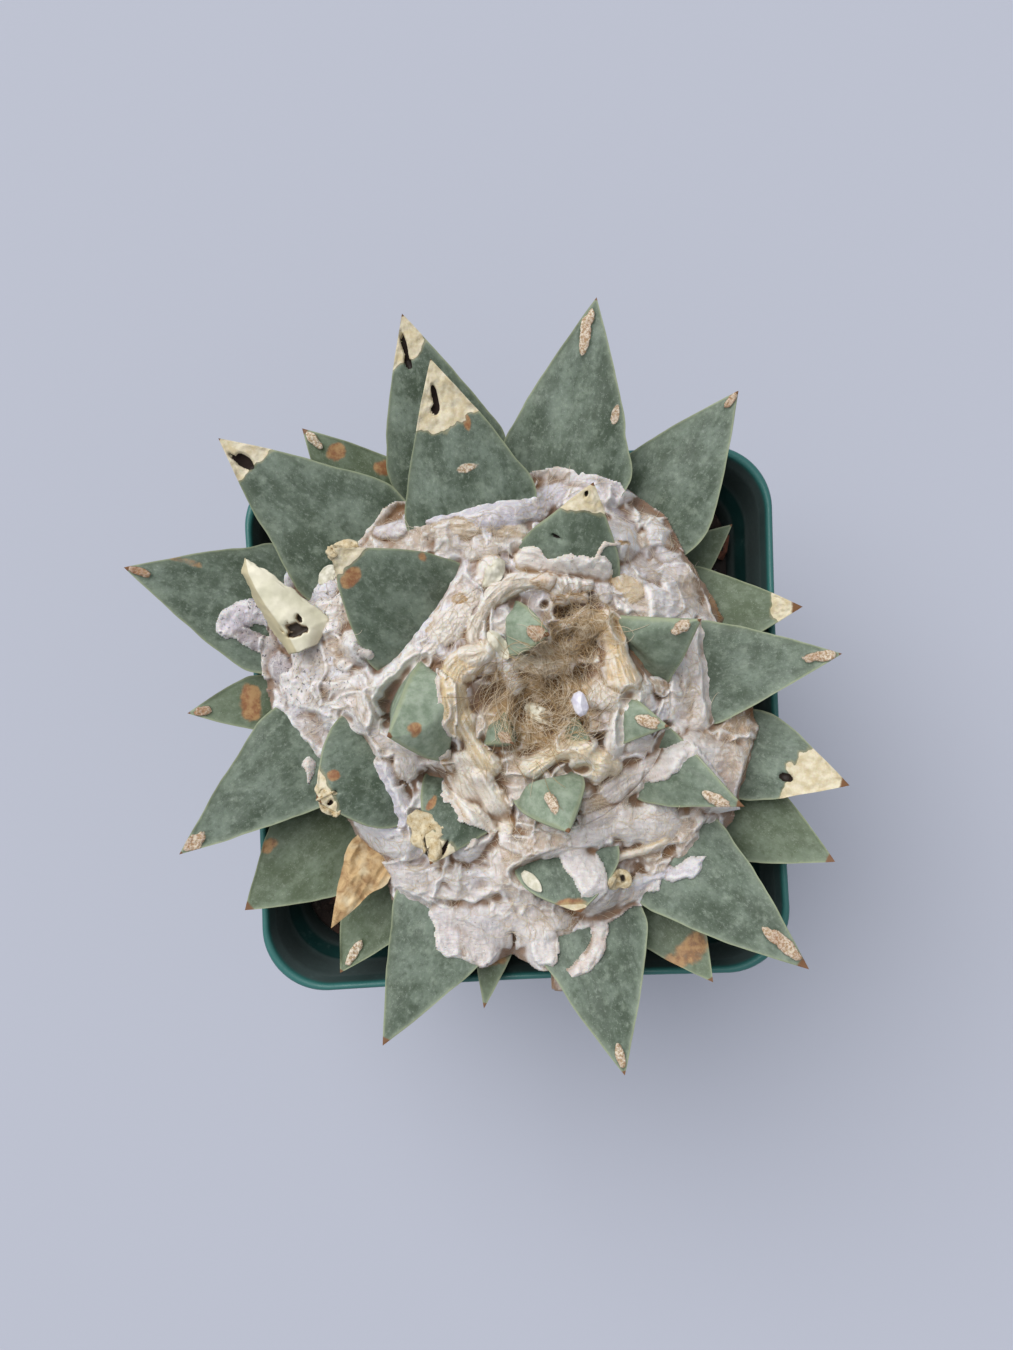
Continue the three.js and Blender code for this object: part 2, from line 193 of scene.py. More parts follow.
# Injection-moulded polypropylene: a deep even green with a satin skin, greyed where water and grit
# have dried on it, and with a painted highlight along the top of the lip.
mottle = add(tree, "TexNoise", at, 1 / 9, 4.0, 0.55)
splash = add(tree, "MapRange", add(tree, "TexNoise", at, 1 / 2.2, 5.0, 0.7), 0.56, 0.74,
             interpolation_type="SMOOTHSTEP")
height_mm = add(tree, "SeparateXYZ", at, output="Z")
lip_highlight = add(tree, "MapRange", height_mm, RIM_HEIGHT - 1.6, RIM_HEIGHT - 0.2,
               interpolation_type="SMOOTHSTEP")
green = laid_over(tree, "#143230", (mottle, 0.35, 0.7, 1.0, "#1a3e3c"))
# Painted light: the inner face of the wall above the mix is painted paler and greyer.
facing = add(tree, "NewGeometry", output="Normal")
inward = add(tree, "VectorMath", facing, at, operation="DOT_PRODUCT")
above_mix = add(tree, "MapRange", height_mm, 70, 78, interpolation_type="SMOOTHSTEP")
inside_painted_light = add(tree, "Math", add(tree, "MapRange", inward, -10, -30, interpolation_type="SMOOTHSTEP"),
                  above_mix, operation="MULTIPLY")
green = add(tree, "Mix", add(tree, "Math", inside_painted_light, 0.5, operation="MULTIPLY"), green, "#66706f",
            data_type="RGBA")
green = add(tree, "Mix", add(tree, "Math", splash, 0.22, operation="MULTIPLY"), green, "#6f8785",
            data_type="RGBA")
# Painted highlight: the top of the lip is painted a paler teal.
green = add(tree, "Mix", add(tree, "Math", lip_highlight, 0.75, operation="MULTIPLY"), green, "#3c7a75",
            data_type="RGBA")
lime = add(tree, "MapRange",
           add(tree, "TexNoise", add(tree, "VectorMath", at, (1, 1, 2.2), operation="MULTIPLY"), 1 / 14,
               5.0, 0.65), 0.58, 0.78, interpolation_type="SMOOTHSTEP")
lime = add(tree, "Math", lime,
           add(tree, "MapRange", height_mm, 4, 40, 0.35, 0.06, interpolation_type="SMOOTHSTEP"),
           operation="MULTIPLY")
green = add(tree, "Mix", lime, green, "#8f9a92", data_type="RGBA")
tree.links.new(green, shader.inputs["Base Color"])
tree.links.new(add(tree, "MapRange", add(tree, "TexNoise", at, 1 / 3, 4.0, 0.55), 0.3, 0.7, 0.34, 0.52,
                   interpolation_type="SMOOTHSTEP"), shader.inputs["Roughness"])
grain = add(tree, "TexNoise", at, 1 / 0.35, 2.0, 0.55)
streak = add(tree, "TexNoise", add(tree, "VectorMath", at, (1, 1, 0.06), operation="MULTIPLY"), 1 / 1.2,
             3.0, 0.5)
tree.links.new(add(tree, "Bump", 0.55, 0.05 * MM, None,
                   add(tree, "Math", streak, 0.6, grain,
                       operation="MULTIPLY_ADD")), shader.inputs["Normal"])


def make_piece(name, points, faces, material, smooth=True, marks=None, vectors=None):
    """A mesh piece from points in millimetres and faces that all have the same number of corners."""
    mesh = bpy.data.meshes.new(name)
    points = np.asarray(points, float)
    groups = [np.asarray(f, np.int32) for f in (faces if isinstance(faces, list) else [faces]) if len(f)]
    mesh.vertices.add(len(points))
    mesh.vertices.foreach_set("co", (points * MM).astype(np.float32).ravel())
    corners = np.concatenate([g.ravel() for g in groups])
    sizes = np.concatenate([np.full(len(g), g.shape[1]) for g in groups])
    mesh.loops.add(len(corners))
    mesh.loops.foreach_set("vertex_index", corners)
    mesh.polygons.add(len(sizes))
    mesh.polygons.foreach_set("loop_start", np.concatenate([[0], np.cumsum(sizes)[:-1]]).astype(np.int32))
    mesh.update(calc_edges=True)
    mesh.validate()
    for key, values in (marks or {}).items():
        mesh.attributes.new(key, "FLOAT", "POINT").data.foreach_set("value", np.asarray(values, np.float32))
    for key, values in (vectors or {}).items():
        mesh.attributes.new(key, "FLOAT_VECTOR", "POINT").data.foreach_set(
            "vector", np.asarray(values, np.float32).ravel())
    mesh.polygons.foreach_set("use_smooth", np.full(len(mesh.polygons), smooth))
    piece = bpy.data.objects.new(name, mesh)
    bpy.context.scene.collection.objects.link(piece)
    piece.data.materials.append(material)
    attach(piece, "root")
    return piece


pot = make_piece("nursery_pot", points, faces, moulded)
# Four recesses leave the cross and the ring under the floor, and a drain hole goes through each.
pockets = bpy.data.meshes.new("pockets")
shape = bmesh.new()
RECESS, DRAIN_RADIUS, DRAIN_PLACE = FOOT_HALF - 7, 3.5, 25
for sx in (-1, 1):
    for sy in (-1, 1):
        block = bmesh.ops.create_cube(shape, size=1.0)["verts"]
        bmesh.ops.scale(shape, vec=(RECESS * MM, RECESS * MM, 5 * MM), verts=block)
        bmesh.ops.translate(shape, vec=(sx * (RECESS / 2 + 3) * MM, sy * (RECESS / 2 + 3) * MM, 0),
                            verts=block)
        hole = bmesh.ops.create_cone(shape, cap_ends=True, segments=32, radius1=DRAIN_RADIUS * MM,
                                     radius2=DRAIN_RADIUS * MM,
                                     depth=20 * MM)["verts"]
        bmesh.ops.translate(shape, vec=(sx * DRAIN_PLACE * MM, sy * DRAIN_PLACE * MM, 0), verts=hole)
shape.to_mesh(pockets)
shape.free()
cutter = bpy.data.objects.new("pockets", pockets)
bpy.context.scene.collection.objects.link(cutter)
cut = pot.modifiers.new("cut", "BOOLEAN")
cut.object, cut.operation, cut.solver, cut.use_self = cutter, "DIFFERENCE", "EXACT", True
depsgraph = bpy.context.evaluated_depsgraph_get()
carved = bpy.data.meshes.new_from_object(pot.evaluated_get(depsgraph))
pot.modifiers.clear()
pot.data = carved
bpy.data.objects.remove(cutter)
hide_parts("pot")

# ---------------------------------------------------------------------------------------------------
# The growing mix: composted bark, dark lava grit and some blue-grey gravel, filled to about 16 mm
# under the lip. A solid bed carries loose grains, each a separate chip of its own shape.
# ---------------------------------------------------------------------------------------------------
# The plant stands a little off the middle of its pot, on AXIS.
AXIS = np.array([2.0, 3.5])
MIX_TOP = 83.0
STEM_CLEARANCE = 27
rng = np.random.default_rng(20)


def inner_half(z):
    return FOOT_HALF + TAPER * z - WALL - 0.35


def lattice(cell, seed):
    """A repeatable number from -1 to 1 for each whole-number cell."""
    x, y, z = (cell[:, i].astype(np.int64).astype(np.uint64) for i in range(3))
    h = x * np.uint64(374761393) + y * np.uint64(668265263) + z * np.uint64(1440662683)
    h = (h + np.uint64(seed * 974634777 + 12345)) & np.uint64(0xFFFFFFFF)
    h = ((h ^ (h >> np.uint64(13))) * np.uint64(1274126177)) & np.uint64(0xFFFFFFFF)
    h = ((h ^ (h >> np.uint64(16))) * np.uint64(2246822519)) & np.uint64(0xFFFFFFFF)
    h = h ^ (h >> np.uint64(15))
    return h.astype(float) / 2147483647.5 - 1.0


def waves(points, size, seed=0, octaves=3, rough=0.5):
    """Smooth noise over points in millimetres, about -1 to 1, with blobs about size across."""
    points = np.asarray(points, float)
    if points.shape[1] == 2:
        points = np.column_stack([points, np.zeros(len(points))])
    total, share, weight = np.zeros(len(points)), 1.0, 0.0
    for octave in range(octaves):
        q = points / size * 2**octave + 17.3 * octave
        cell = np.floor(q)
        f = q - cell
        f = f * f * f * (f * (f * 6 - 15) + 10)
        value = np.zeros(len(points))
        for dx in (0, 1):
            for dy in (0, 1):
                for dz in (0, 1):
                    w = (np.where(dx, f[:, 0], 1 - f[:, 0]) * np.where(dy, f[:, 1], 1 - f[:, 1])
                         * np.where(dz, f[:, 2], 1 - f[:, 2]))
                    value += w * lattice(cell + [dx, dy, dz], seed * 31 + octave)
        total += share * value
        weight += share
        share *= rough
    return total / weight * 1.4


def mix_height(xy):
    """The bed's surface: a little higher against the plant, and lumpy."""
    near = np.clip(1 - np.hypot(xy[:, 0], xy[:, 1]) / 54, 0, 1)
    return MIX_TOP + 2.5 * near + 1.1 * waves(xy, 11, 3, 3)


gritty, tree, shader, at = begin("bark_and_lava_mix")
# Damp bark and crushed lava: near-black and rust-brown, dull, with dust on the top faces.
tone = add(tree, "Attribute", attribute_name="tone", output="Fac")
grit = add(tree, "Mix", add(tree, "MapRange", tone, 0.0, 0.45), "#1b1816", "#3a2a22", data_type="RGBA")
grit = laid_over(tree, grit,
                 (tone, 0.45, 0.72, 1.0, "#6b3f2e"),
                 (tone, 0.78, 0.9, 1.0, "#545a66"),
                 (tone, 0.95, 0.99, 1.0, "#98928a"))
speck = add(tree, "TexNoise", at, 1 / 0.7, 4.0, 0.65)
grit = laid_over(tree, grit, (speck, 0.35, 0.75, 0.55, "#120f0e"))
dust = add(tree, "MapRange", add(tree, "TexNoise", at, 1 / 1.8, 4.0, 0.55), 0.55, 0.75, 0.0, 0.3,
           interpolation_type="SMOOTHSTEP")
grit = add(tree, "Mix", dust, grit, "#8b7c6e", data_type="RGBA")
tree.links.new(grit, shader.inputs["Base Color"])
shader.inputs["Roughness"].default_value = 0.9
tree.links.new(add(tree, "Bump", 0.8, 0.35 * MM, None, speck), shader.inputs["Normal"])

bed = [rounded_square(inner_half(z), z) for z in (4.6, 12, 30, 50, 70, 78, 81.5)]
for share in np.linspace(0.985, 0.05, 40):
    ring = rounded_square(inner_half(MIX_TOP) * share, 0)
    ring[:, 2] = mix_height(ring[:, :2])
    bed.append(ring)
points, faces = skin_rings(bed)
bed_piece = make_piece("mix_bed", points, faces, gritty, marks={"tone": 0.2 + 0.2 * waves(points, 3, 5)})
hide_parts("growing_mix")

chip = bmesh.new()
bmesh.ops.create_icosphere(chip, subdivisions=1, radius=1.0)
chip_points = np.array([v.co for v in chip.verts])
chip_faces = np.array([[v.index for v in f.verts] for f in chip.faces])
chip.free()
all_points, all_faces, tones, spots = [], [], [], []
wall_at = inner_half(MIX_TOP)
corner_from, corner_radius = wall_at * (1 - CORNER_SHARE), 9.5
for count, above in ((1500, -0.5), (1100, 1.0)):
    for x, y in rng.uniform(-wall_at + 1.5, wall_at - 1.5, (count, 2)):
        past_x, past_y = abs(x) - corner_from, abs(y) - corner_from
        in_corner = min(past_x, past_y) > 0 and math.hypot(past_x, past_y) > corner_radius
        if math.hypot(x - AXIS[0], y - AXIS[1]) >= STEM_CLEARANCE and not in_corner:
            spots.append((x, y, above))
spots = np.array(spots)
tops = mix_height(spots[:, :2]) + spots[:, 2]
for (x, y, _), top in zip(spots, tops):
    kind = rng.random()
    size = rng.uniform(1.0, 2.3)
    flat = rng.uniform(0.28, 0.5) if kind < 0.45 else rng.uniform(0.6, 0.95)
    long = rng.uniform(1.2, 1.9) if kind < 0.45 else rng.uniform(0.9, 1.25)
    body = chip_points * (1 + 0.22 * rng.standard_normal((len(chip_points), 1)).clip(-1.6, 1.6))
    body = body * [size * long, size, size * flat]
    turn = Matrix.Rotation(rng.uniform(0, 6.28), 3, "Z") @ Matrix.Rotation(rng.normal(0, 0.45), 3, "X")
    turn = turn @ Matrix.Rotation(rng.normal(0, 0.45), 3, "Y")
    body = body @ np.array(turn).T + [x, y, top]
    limit = inner_half(top) - 0.2
    body[:, :2] = np.clip(body[:, :2], -limit, limit)
    all_faces.append(chip_faces + len(all_points) * len(chip_points))
    all_points.append(body)
    # Bark and lava, with a little blue-grey gravel and a few white grains.
    shade = rng.uniform(0.35, 0.72) if kind < 0.4 else rng.uniform(0.0, 0.4)
    if kind > 0.86:
        shade = rng.uniform(0.84, 0.92)
    if kind > 0.975:
        shade = 1.0
    tones.append(np.full(len(chip_points), shade))
grains = make_piece("loose_grains", np.vstack(all_points), np.vstack(all_faces), gritty, smooth=False,
                    marks={"tone": np.concatenate(tones)})

# ---------------------------------------------------------------------------------------------------
# The stem: a turnip-shaped body and tap-root, corky where old tubercles have withered away. Only a
# little of it shows, between the lowest tubercles and the mix.
# ---------------------------------------------------------------------------------------------------
STEM_PROFILE = [(0.3, 18), (7, 26), (13, 44), (21, 64), (27, 80), (29.2, 90), (27.8, 98), (24, 105),
                (17, 110.5), (9, 114), (0.3, 115)]

corky, tree, shader, at = begin("corky_stem_tissue")
# Dead, corky skin: dull grey-brown, cracked into rings, with no shine.
cracks = add(tree, "TexNoise", add(tree, "VectorMath", at, (1, 1, 3.0), operation="MULTIPLY"), 1 / 3, 5.0,
             0.7)
bark = laid_over(tree, "#4a3a2b", (cracks, 0.3, 0.7, 1.0, "#a08f78"))
tree.links.new(bark, shader.inputs["Base Color"])
shader.inputs["Roughness"].default_value = 0.95
tree.links.new(add(tree, "Bump", 0.9, 0.8 * MM, None, cracks), shader.inputs["Normal"])

heights = np.array([z for _, z in STEM_PROFILE])
radii = np.array([r for r, _ in STEM_PROFILE])
arc = np.concatenate([[0], np.cumsum(np.hypot(np.diff(radii), np.diff(heights)))])
fine = np.linspace(0, arc[-1], 90)
turns = np.linspace(0, 2 * math.pi, 96, endpoint=False)
stem_rings = []
for r, z in zip(np.interp(fine, arc, radii), np.interp(fine, arc, heights)):
    ring = np.column_stack([AXIS[0] + r * np.cos(turns), AXIS[1] + r * np.sin(turns), np.full(96, z)])
    swell = 1 + 0.02 * waves(ring, 6, 8, 3)
    ring[:, :2] = AXIS + (ring[:, :2] - AXIS) * swell[:, None]
    stem_rings.append(ring)
points, faces = skin_rings(stem_rings)
stem = make_piece("stem_and_root", points, faces, corky)
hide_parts("stem")

# ---------------------------------------------------------------------------------------------------
# The tubercles: hard, three-sided, leaf-like points with a waxy grey-green skin, pale horny margins
# and an oval pad of short wool behind the tip. Each grows round the control net of its CAD solid.
# ---------------------------------------------------------------------------------------------------
NET_CORNERS = 8


def net_of(name):
    """Centre line, frame and sections of a tubercle, from the rings of corners of its solid."""
    shape = bmesh.new()
    shape.from_mesh(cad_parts[name].data)
    bmesh.ops.remove_doubles(shape, verts=shape.verts, dist=2e-6)
    poles = sorted((v for v in shape.verts if len(v.link_edges) >= NET_CORNERS), key=lambda v: v.co.z)
    tip, seen, level, found = poles[-1], {poles[-1]}, {poles[-1]}, []
    while len(seen) < len(shape.verts):
        level = {e.other_vert(v) for v in level for e in v.link_edges} - seen
        if not level:
            break
        seen |= level
        found.append(np.array([v.co / MM for v in level]))
    tip = np.array(tip.co) / MM
    shape.free()
    rings = [r for r in found if len(r) == NET_CORNERS][::-1]
    middles, rows = [], []
    for ring in rings:
        gaps = np.linalg.norm(ring[:, None] - ring[None], axis=2)
        a, b = np.unravel_index(gaps.argmax(), gaps.shape)
        middles.append((ring[a] + ring[b]) / 2)
        rows.append((ring, ring[b] - ring[a], gaps[a, b] / 2))
    along = tip - middles[0]
    length = np.linalg.norm(along)
    along /= length
    across = rows[2][1] / np.linalg.norm(rows[2][1])
    across -= along * (across @ along)
    across /= np.linalg.norm(across)
    up = np.cross(along, across)
    keel = max(rows[2][0], key=lambda p: np.linalg.norm(np.cross(p - middles[2], across)))
    if (keel - middles[2]) @ up > 0:
        across, up = -across, -up
    share = [(m - middles[0]) @ along / length for m in middles] + [1.0]
    arch = [(m - middles[0]) @ up for m in middles] + [0.0]
    width = [r[2] for r in rows] + [0.0]
    crown = [max((p - m) @ up for p in r[0]) for r, m in zip(rows, middles)] + [0.0]
    depth = [max((m - p) @ up for p in r[0]) for r, m in zip(rows, middles)] + [0.0]
    return dict(root=middles[0], tip=tip, along=along, across=across, up=up, length=length,
                share=np.array(share), arch=np.array(arch), width=np.array(width),
                crown=np.array(crown), depth=np.array(depth))


def eased(x, xs, ys):
    """Smooth interpolation that never overshoots its points."""
    h, d = np.diff(xs), np.diff(ys) / np.diff(xs)
    m = np.zeros(len(xs))
    for i in range(1, len(xs) - 1):
        if d[i - 1] * d[i] > 0:
            w1, w2 = 2 * h[i] + h[i - 1], h[i] + 2 * h[i - 1]
            m[i] = (w1 + w2) / (w1 / d[i - 1] + w2 / d[i])
    m[0], m[-1] = d[0], d[-1]
    i = np.clip(np.searchsorted(xs, x) - 1, 0, len(xs) - 2)
    t = (x - xs[i]) / h[i]
    return ((1 + 2 * t) * (1 - t) ** 2 * ys[i] + t * (1 - t) ** 2 * h[i] * m[i]
            + t * t * (3 - 2 * t) * ys[i + 1] + t * t * (t - 1) * h[i] * m[i + 1])


# The upper ring is 1 to 12, those standing in the wool are 13 to 25, and the lower ring starts at 26.
TUBERCLES, FIRST_IN_WOOL, FIRST_LOWER = 37, 13, 26
# What each tubercle's upper face carries, in millimetres back from the tip and then to the left when the
# tip points away from you. pad: areole wool as place, length, width and brownness. cork: how far cream
# dead tissue reaches back, and its lean to one side. pits: place, length, width. rust: the same and its
# strength, where a strength under 0 is a fleck of wool. browntip: how far the tip has browned.
MARKS = {
    1: dict(pad=(6.2, 0.6, 7.4, 2.2, 0.15), rust=[(19.5, -7.6, 3.4, 1.6, -1)]),
    2: dict(pad=(2.0, 0, 3.6, 1.5, 0.4)),
    3: dict(pad=(4.0, 0, 7.0, 2.0, 0.25)),
    4: dict(cork=(10.5, 0.5), pits=[(11.2, -2.2, 2.6, 1.6)], browntip=2.5),
    5: dict(pad=(6.5, 0.5, 8.5, 2.4, 0.35), browntip=3.2),
    6: dict(pad=(3.4, 0, 4.0, 1.5, 0.3), browntip=1.2),
    7: dict(browntip=2.2),
    8: dict(pad=(3.6, 0, 5.6, 2.6, 0.1), browntip=1.0),
    9: dict(pad=(2.8, 0, 4.4, 1.7, 0.45), browntip=1.4, rust=[(10, -4.3, 7, 1.6, 0.6)]),
    10: dict(cork=(7.4, 0.3), pits=[(6.2, 0.4, 3.6, 2.4), (4.2, 1.0, 2.6, 0.8)], browntip=0.6),
    11: dict(cork=(7.4, -0.9), pits=[(5.6, 1.3, 5.0, 1.0), (8.4, 1.6, 2.2, 1.2)]),
    12: dict(cork=(11.4, -0.2), pits=[(6.8, 1.0, 4.4, 1.1), (8.6, 1.6, 1.6, 1.4)],
             rust=[(11.8, -3.2, 3.2, 1.6, 1), (19.5, -1.5, 1.8, 4.6, -0.7)], browntip=0.4),
    13: dict(cork=(4.6, 0.3), rust=[(5.6, 1.8, 2.6, 4.2, 1), (14, -9, 2.4, 1.8, 0.8)]),
    14: dict(cork=(5.2, 0.0), pits=[(10.5, 3.5, 0.7, 1.6), (2.2, 0.6, 1.2, 0.7)]),
    15: dict(pad=(3.2, 0.9, 3.4, 2.0, 0.2)),
    16: dict(pad=(4.4, -0.8, 5.2, 2.2, 0.2), browntip=2.0),
    17: dict(rust=[(1.2, -3.0, 2.6, 8, 1)], cork=(1.5, 1.4), pits=[(1.8, 6.0, 1.6, 1.2)]),
    18: dict(cork=(4.6, 0.3), pits=[(3.4, 1.0, 3.2, 0.8)],
             rust=[(9.6, -4.8, 3.4, 1.6, 1), (2.4, -2.0, 2.4, 2.2, 1)]),
    19: dict(cork=(2.6, 0.6), pits=[(2.0, 1.6, 1.1, 0.9), (3.2, 0.4, 0.9, 0.9), (1.6, -0.8, 0.8, 0.9)],
             rust=[(4.2, -2.6, 2.2, 2.2, 1)]),
    20: dict(rust=[(3.4, 0.4, 2.2, 2.8, 1.2)]),
    21: dict(pad=(4.6, -0.6, 3.8, 2.0, 0.15)),
    22: dict(pad=(3.0, 0.2, 4.2, 2.2, 0.15)),
    23: dict(pad=(1.8, 0, 3.2, 2.8, 0.4)),
    24: dict(pad=(1.6, 0, 2.4, 2.2, 0.35)),
    26: dict(cork=(5.5, 0.2), browntip=3.0),
    27: dict(browntip=2.4),
    28: dict(rust=[(7, 0, 5.5, 12, 0.8)], browntip=1.4),
    29: dict(rust=[(11, 0, 7, 9, 0.9)], browntip=1.6),
    30: dict(pad=(4.4, 0.4, 5.4, 1.7, 0.05), browntip=1.0),
    31: dict(browntip=2.2, rust=[(11.5, -6.5, 4.0, 2.8, 0.8)]),
    32: dict(pad=(2.6, 0, 3.6, 1.8, 0.5), rust=[(12, 0, 4.2, 8, 1.3)]),
    33: dict(pad=(3.0, 0, 4.0, 1.6, 0.0), rust=[(7.5, -1.5, 3.4, 4.4, 1.3), (16, -6.0, 3.8, 3.8, 1.3)],
             browntip=1.6),
}

waxy, tree, shader, at = begin("waxy_tubercle_skin")
# Thick succulent skin: grey-green under a matt wax bloom, streaked lengthways, paler and horny along
# the margins. Old damage is cream cork, rust stains and pits painted near-black as their shade; the
# areole is short cream wool.
grain_at = add(tree, "Attribute", attribute_name="grain", output="Vector")
edge, pad, cork, pit, rust, age, youth, pad_tone, brown = (
    add(tree, "Attribute", attribute_name=name, output="Fac")
    for name in ("edge", "pad", "cork", "pit", "rust", "age", "youth", "pad_tone", "brown"))
streaks = add(tree, "TexNoise", add(tree, "VectorMath", grain_at, (1.0, 0.22, 1.0), operation="MULTIPLY"),
              1 / 2.6, 4.0, 0.6)
cloud = add(tree, "TexNoise", at, 1 / 8, 4.0, 0.6)
mottle = add(tree, "TexNoise", at, 1 / 2.2, 4.0, 0.65)
flecks = add(tree, "TexNoise", add(tree, "VectorMath", grain_at, (1.0, 0.7, 1.0), operation="MULTIPLY"),
             1 / 0.7, 4.0, 0.65)
skin = laid_over(tree, "#475445",
                 (streaks, 0.3, 0.7, 1.0, "#6f7c6d"),
                 (cloud, 0.5, 0.66, 0.6, "#7d8a7c"),
                 (cloud, 0.5, 0.34, 0.7, "#3c4a39"),
                 (mottle, 0.48, 0.72, 0.55, "#8c9887"),
                 (mottle, 0.48, 0.3, 0.55, "#3f4c3a"),
                 (flecks, 0.52, 0.74, 0.5, "#98a395"),
                 (flecks, 0.48, 0.28, 0.45, "#3a4634"))
bloom = add(tree, "MapRange", add(tree, "Math", mottle, 0.3, edge, operation="MULTIPLY_ADD"), 0.15, 0.75,
            0.0, 0.35, interpolation_type="SMOOTHSTEP")
skin = add(tree, "Mix", bloom, skin, "#8e9a86", data_type="RGBA")
skin = laid_over(tree, skin, (age, 0.0, 1.0, 0.4, "#6f7c52"))
skin = add(tree, "Mix", youth, skin, laid_over(tree, "#84947c", (mottle, 0.3, 0.7, 1.0, "#adb9a3")),
           data_type="RGBA")
pores = add(tree, "TexVoronoi", grain_at, 2.4)
skin = laid_over(tree, skin, (pores, 0.2, 0.06, 0.45, "#b2bcab"))
ragged = add(tree, "TexNoise", at, 1 / 1.6, 4.0, 0.65)
rim = add(tree, "MapRange", add(tree, "Math", ragged, 0.5, edge, operation="MULTIPLY_ADD"), 0.78, 1.2,
          interpolation_type="SMOOTHSTEP")
skin = add(tree, "Mix", add(tree, "Math", rim, 0.78, operation="MULTIPLY"), skin, "#9da584",
           data_type="RGBA")
stain = add(tree, "MapRange", add(tree, "Math", ragged, 0.9, rust, operation="MULTIPLY_ADD"), 0.7, 1.35,
            interpolation_type="SMOOTHSTEP")
skin = add(tree, "Mix", add(tree, "Math", stain, 0.8, operation="MULTIPLY"), skin,
           laid_over(tree, "#96582f", (ragged, 0.35, 0.65, 1.0, "#c0925f")), data_type="RGBA")
cork_colour = laid_over(tree, "#e6dcc2", (ragged, 0.3, 0.7, 1.0, "#cdbd98"))
cork_share = add(tree, "MapRange", add(tree, "Math", ragged, 0.16, cork, operation="MULTIPLY_ADD"), 0.5,
                 0.62, interpolation_type="SMOOTHSTEP")
skin = add(tree, "Mix", cork_share, skin, cork_colour, data_type="RGBA")
halo = add(tree, "MapRange", add(tree, "Math", ragged, 0.3, cork, operation="MULTIPLY_ADD"), 0.2, 0.52,
           interpolation_type="SMOOTHSTEP")
halo = add(tree, "Math", halo,
           add(tree, "MapRange", cork_share, 0.0, 0.6, 1.0, 0.0, interpolation_type="SMOOTHSTEP"),
           operation="MULTIPLY")
skin = add(tree, "Mix", add(tree, "Math", halo, 0.4, operation="MULTIPLY"), skin, "#a59a72",
           data_type="RGBA")
pad_share = add(tree, "MapRange", add(tree, "Math", ragged, 0.55, pad, operation="MULTIPLY_ADD"), 0.62,
                0.86, interpolation_type="SMOOTHSTEP")
fluff = add(tree, "TexNoise", at, 1 / 0.45, 3.0, 0.7)
wool_colour = laid_over(tree, "#ad8f6c", (fluff, 0.36, 0.64, 1.0, "#efe3cf"))
wool_colour = add(tree, "Mix", pad_tone, wool_colour, "#8d5a34", data_type="RGBA")
skin = add(tree, "Mix", pad_share, skin, wool_colour, data_type="RGBA")
skin = laid_over(tree, skin,
                 (add(tree, "Math", ragged, 0.4, brown, operation="MULTIPLY_ADD"), 0.5, 0.9, 1.0,
                  "#7a5638"))
# Painted shade: the pits are painted near-black.
pit_shade = add(tree, "MapRange", add(tree, "Math", ragged, 0.5, pit, operation="MULTIPLY_ADD"), 0.7, 0.9,
                interpolation_type="SMOOTHSTEP")
skin = add(tree, "Mix", pit_shade, skin, "#241812", data_type="RGBA")
tree.links.new(skin, shader.inputs["Base Color"])
dull = add(tree, "MapRange", streaks, 0.3, 0.7, 0.5, 0.66, interpolation_type="SMOOTHSTEP")
dull = add(tree, "Math", dull,
           add(tree, "Math", add(tree, "Math", pad_share, cork_share, operation="MAXIMUM"), 0.92,
               operation="MULTIPLY"), operation="MAXIMUM")
tree.links.new(dull, shader.inputs["Roughness"])
shader.inputs["IOR"].default_value = 1.45
shader.inputs["Subsurface Weight"].default_value = 0.06
shader.inputs["Subsurface Radius"].default_value = (0.0006, 0.0012, 0.0004)
relief = add(tree, "Math", streaks, 0.5, operation="MULTIPLY")
relief = add(tree, "Math", flecks, 0.25, relief, operation="MULTIPLY_ADD")
relief = add(tree, "Math", add(tree, "Math", fluff, pad_share, operation="MULTIPLY"), 1.6, relief,
             operation="MULTIPLY_ADD")
relief = add(tree, "Math", add(tree, "Math", ragged, cork_share, operation="MULTIPLY"), 1.2, relief,
             operation="MULTIPLY_ADD")
tree.links.new(add(tree, "Bump", 0.7, 0.22 * MM, None, relief), shader.inputs["Normal"])

# Young tubercles are ridged: where the ridge lies at the widest place and at the tip, as shares of the
# half-width, and how high it stands as a share of it.
RIDGES = {15: (0.65, 0.7, 0.34), 20: (-0.7, 0.5, 0.6), 21: (-0.65, 0.3, 0.5), 22: (0.4, 0.1, 0.4),
          23: (0.35, 0.1, 0.5), 24: (0.0, 0.0, 0.4), 25: (0.0, 0.0, 0.4), 18: (0.2, 0.1, 0.2),
          16: (0.5, 0.55, 0.26), 14: (0.3, 0.2, 0.14)}
# How pale the wool has kept a tubercle that it has only just uncovered.
PALENESS = {13: 0.08, 14: 0.1, 15: 0.3, 16: 0.2, 20: 0.75, 21: 0.75, 22: 0.6, 23: 0.75, 24: 0.45, 25: 0.4}

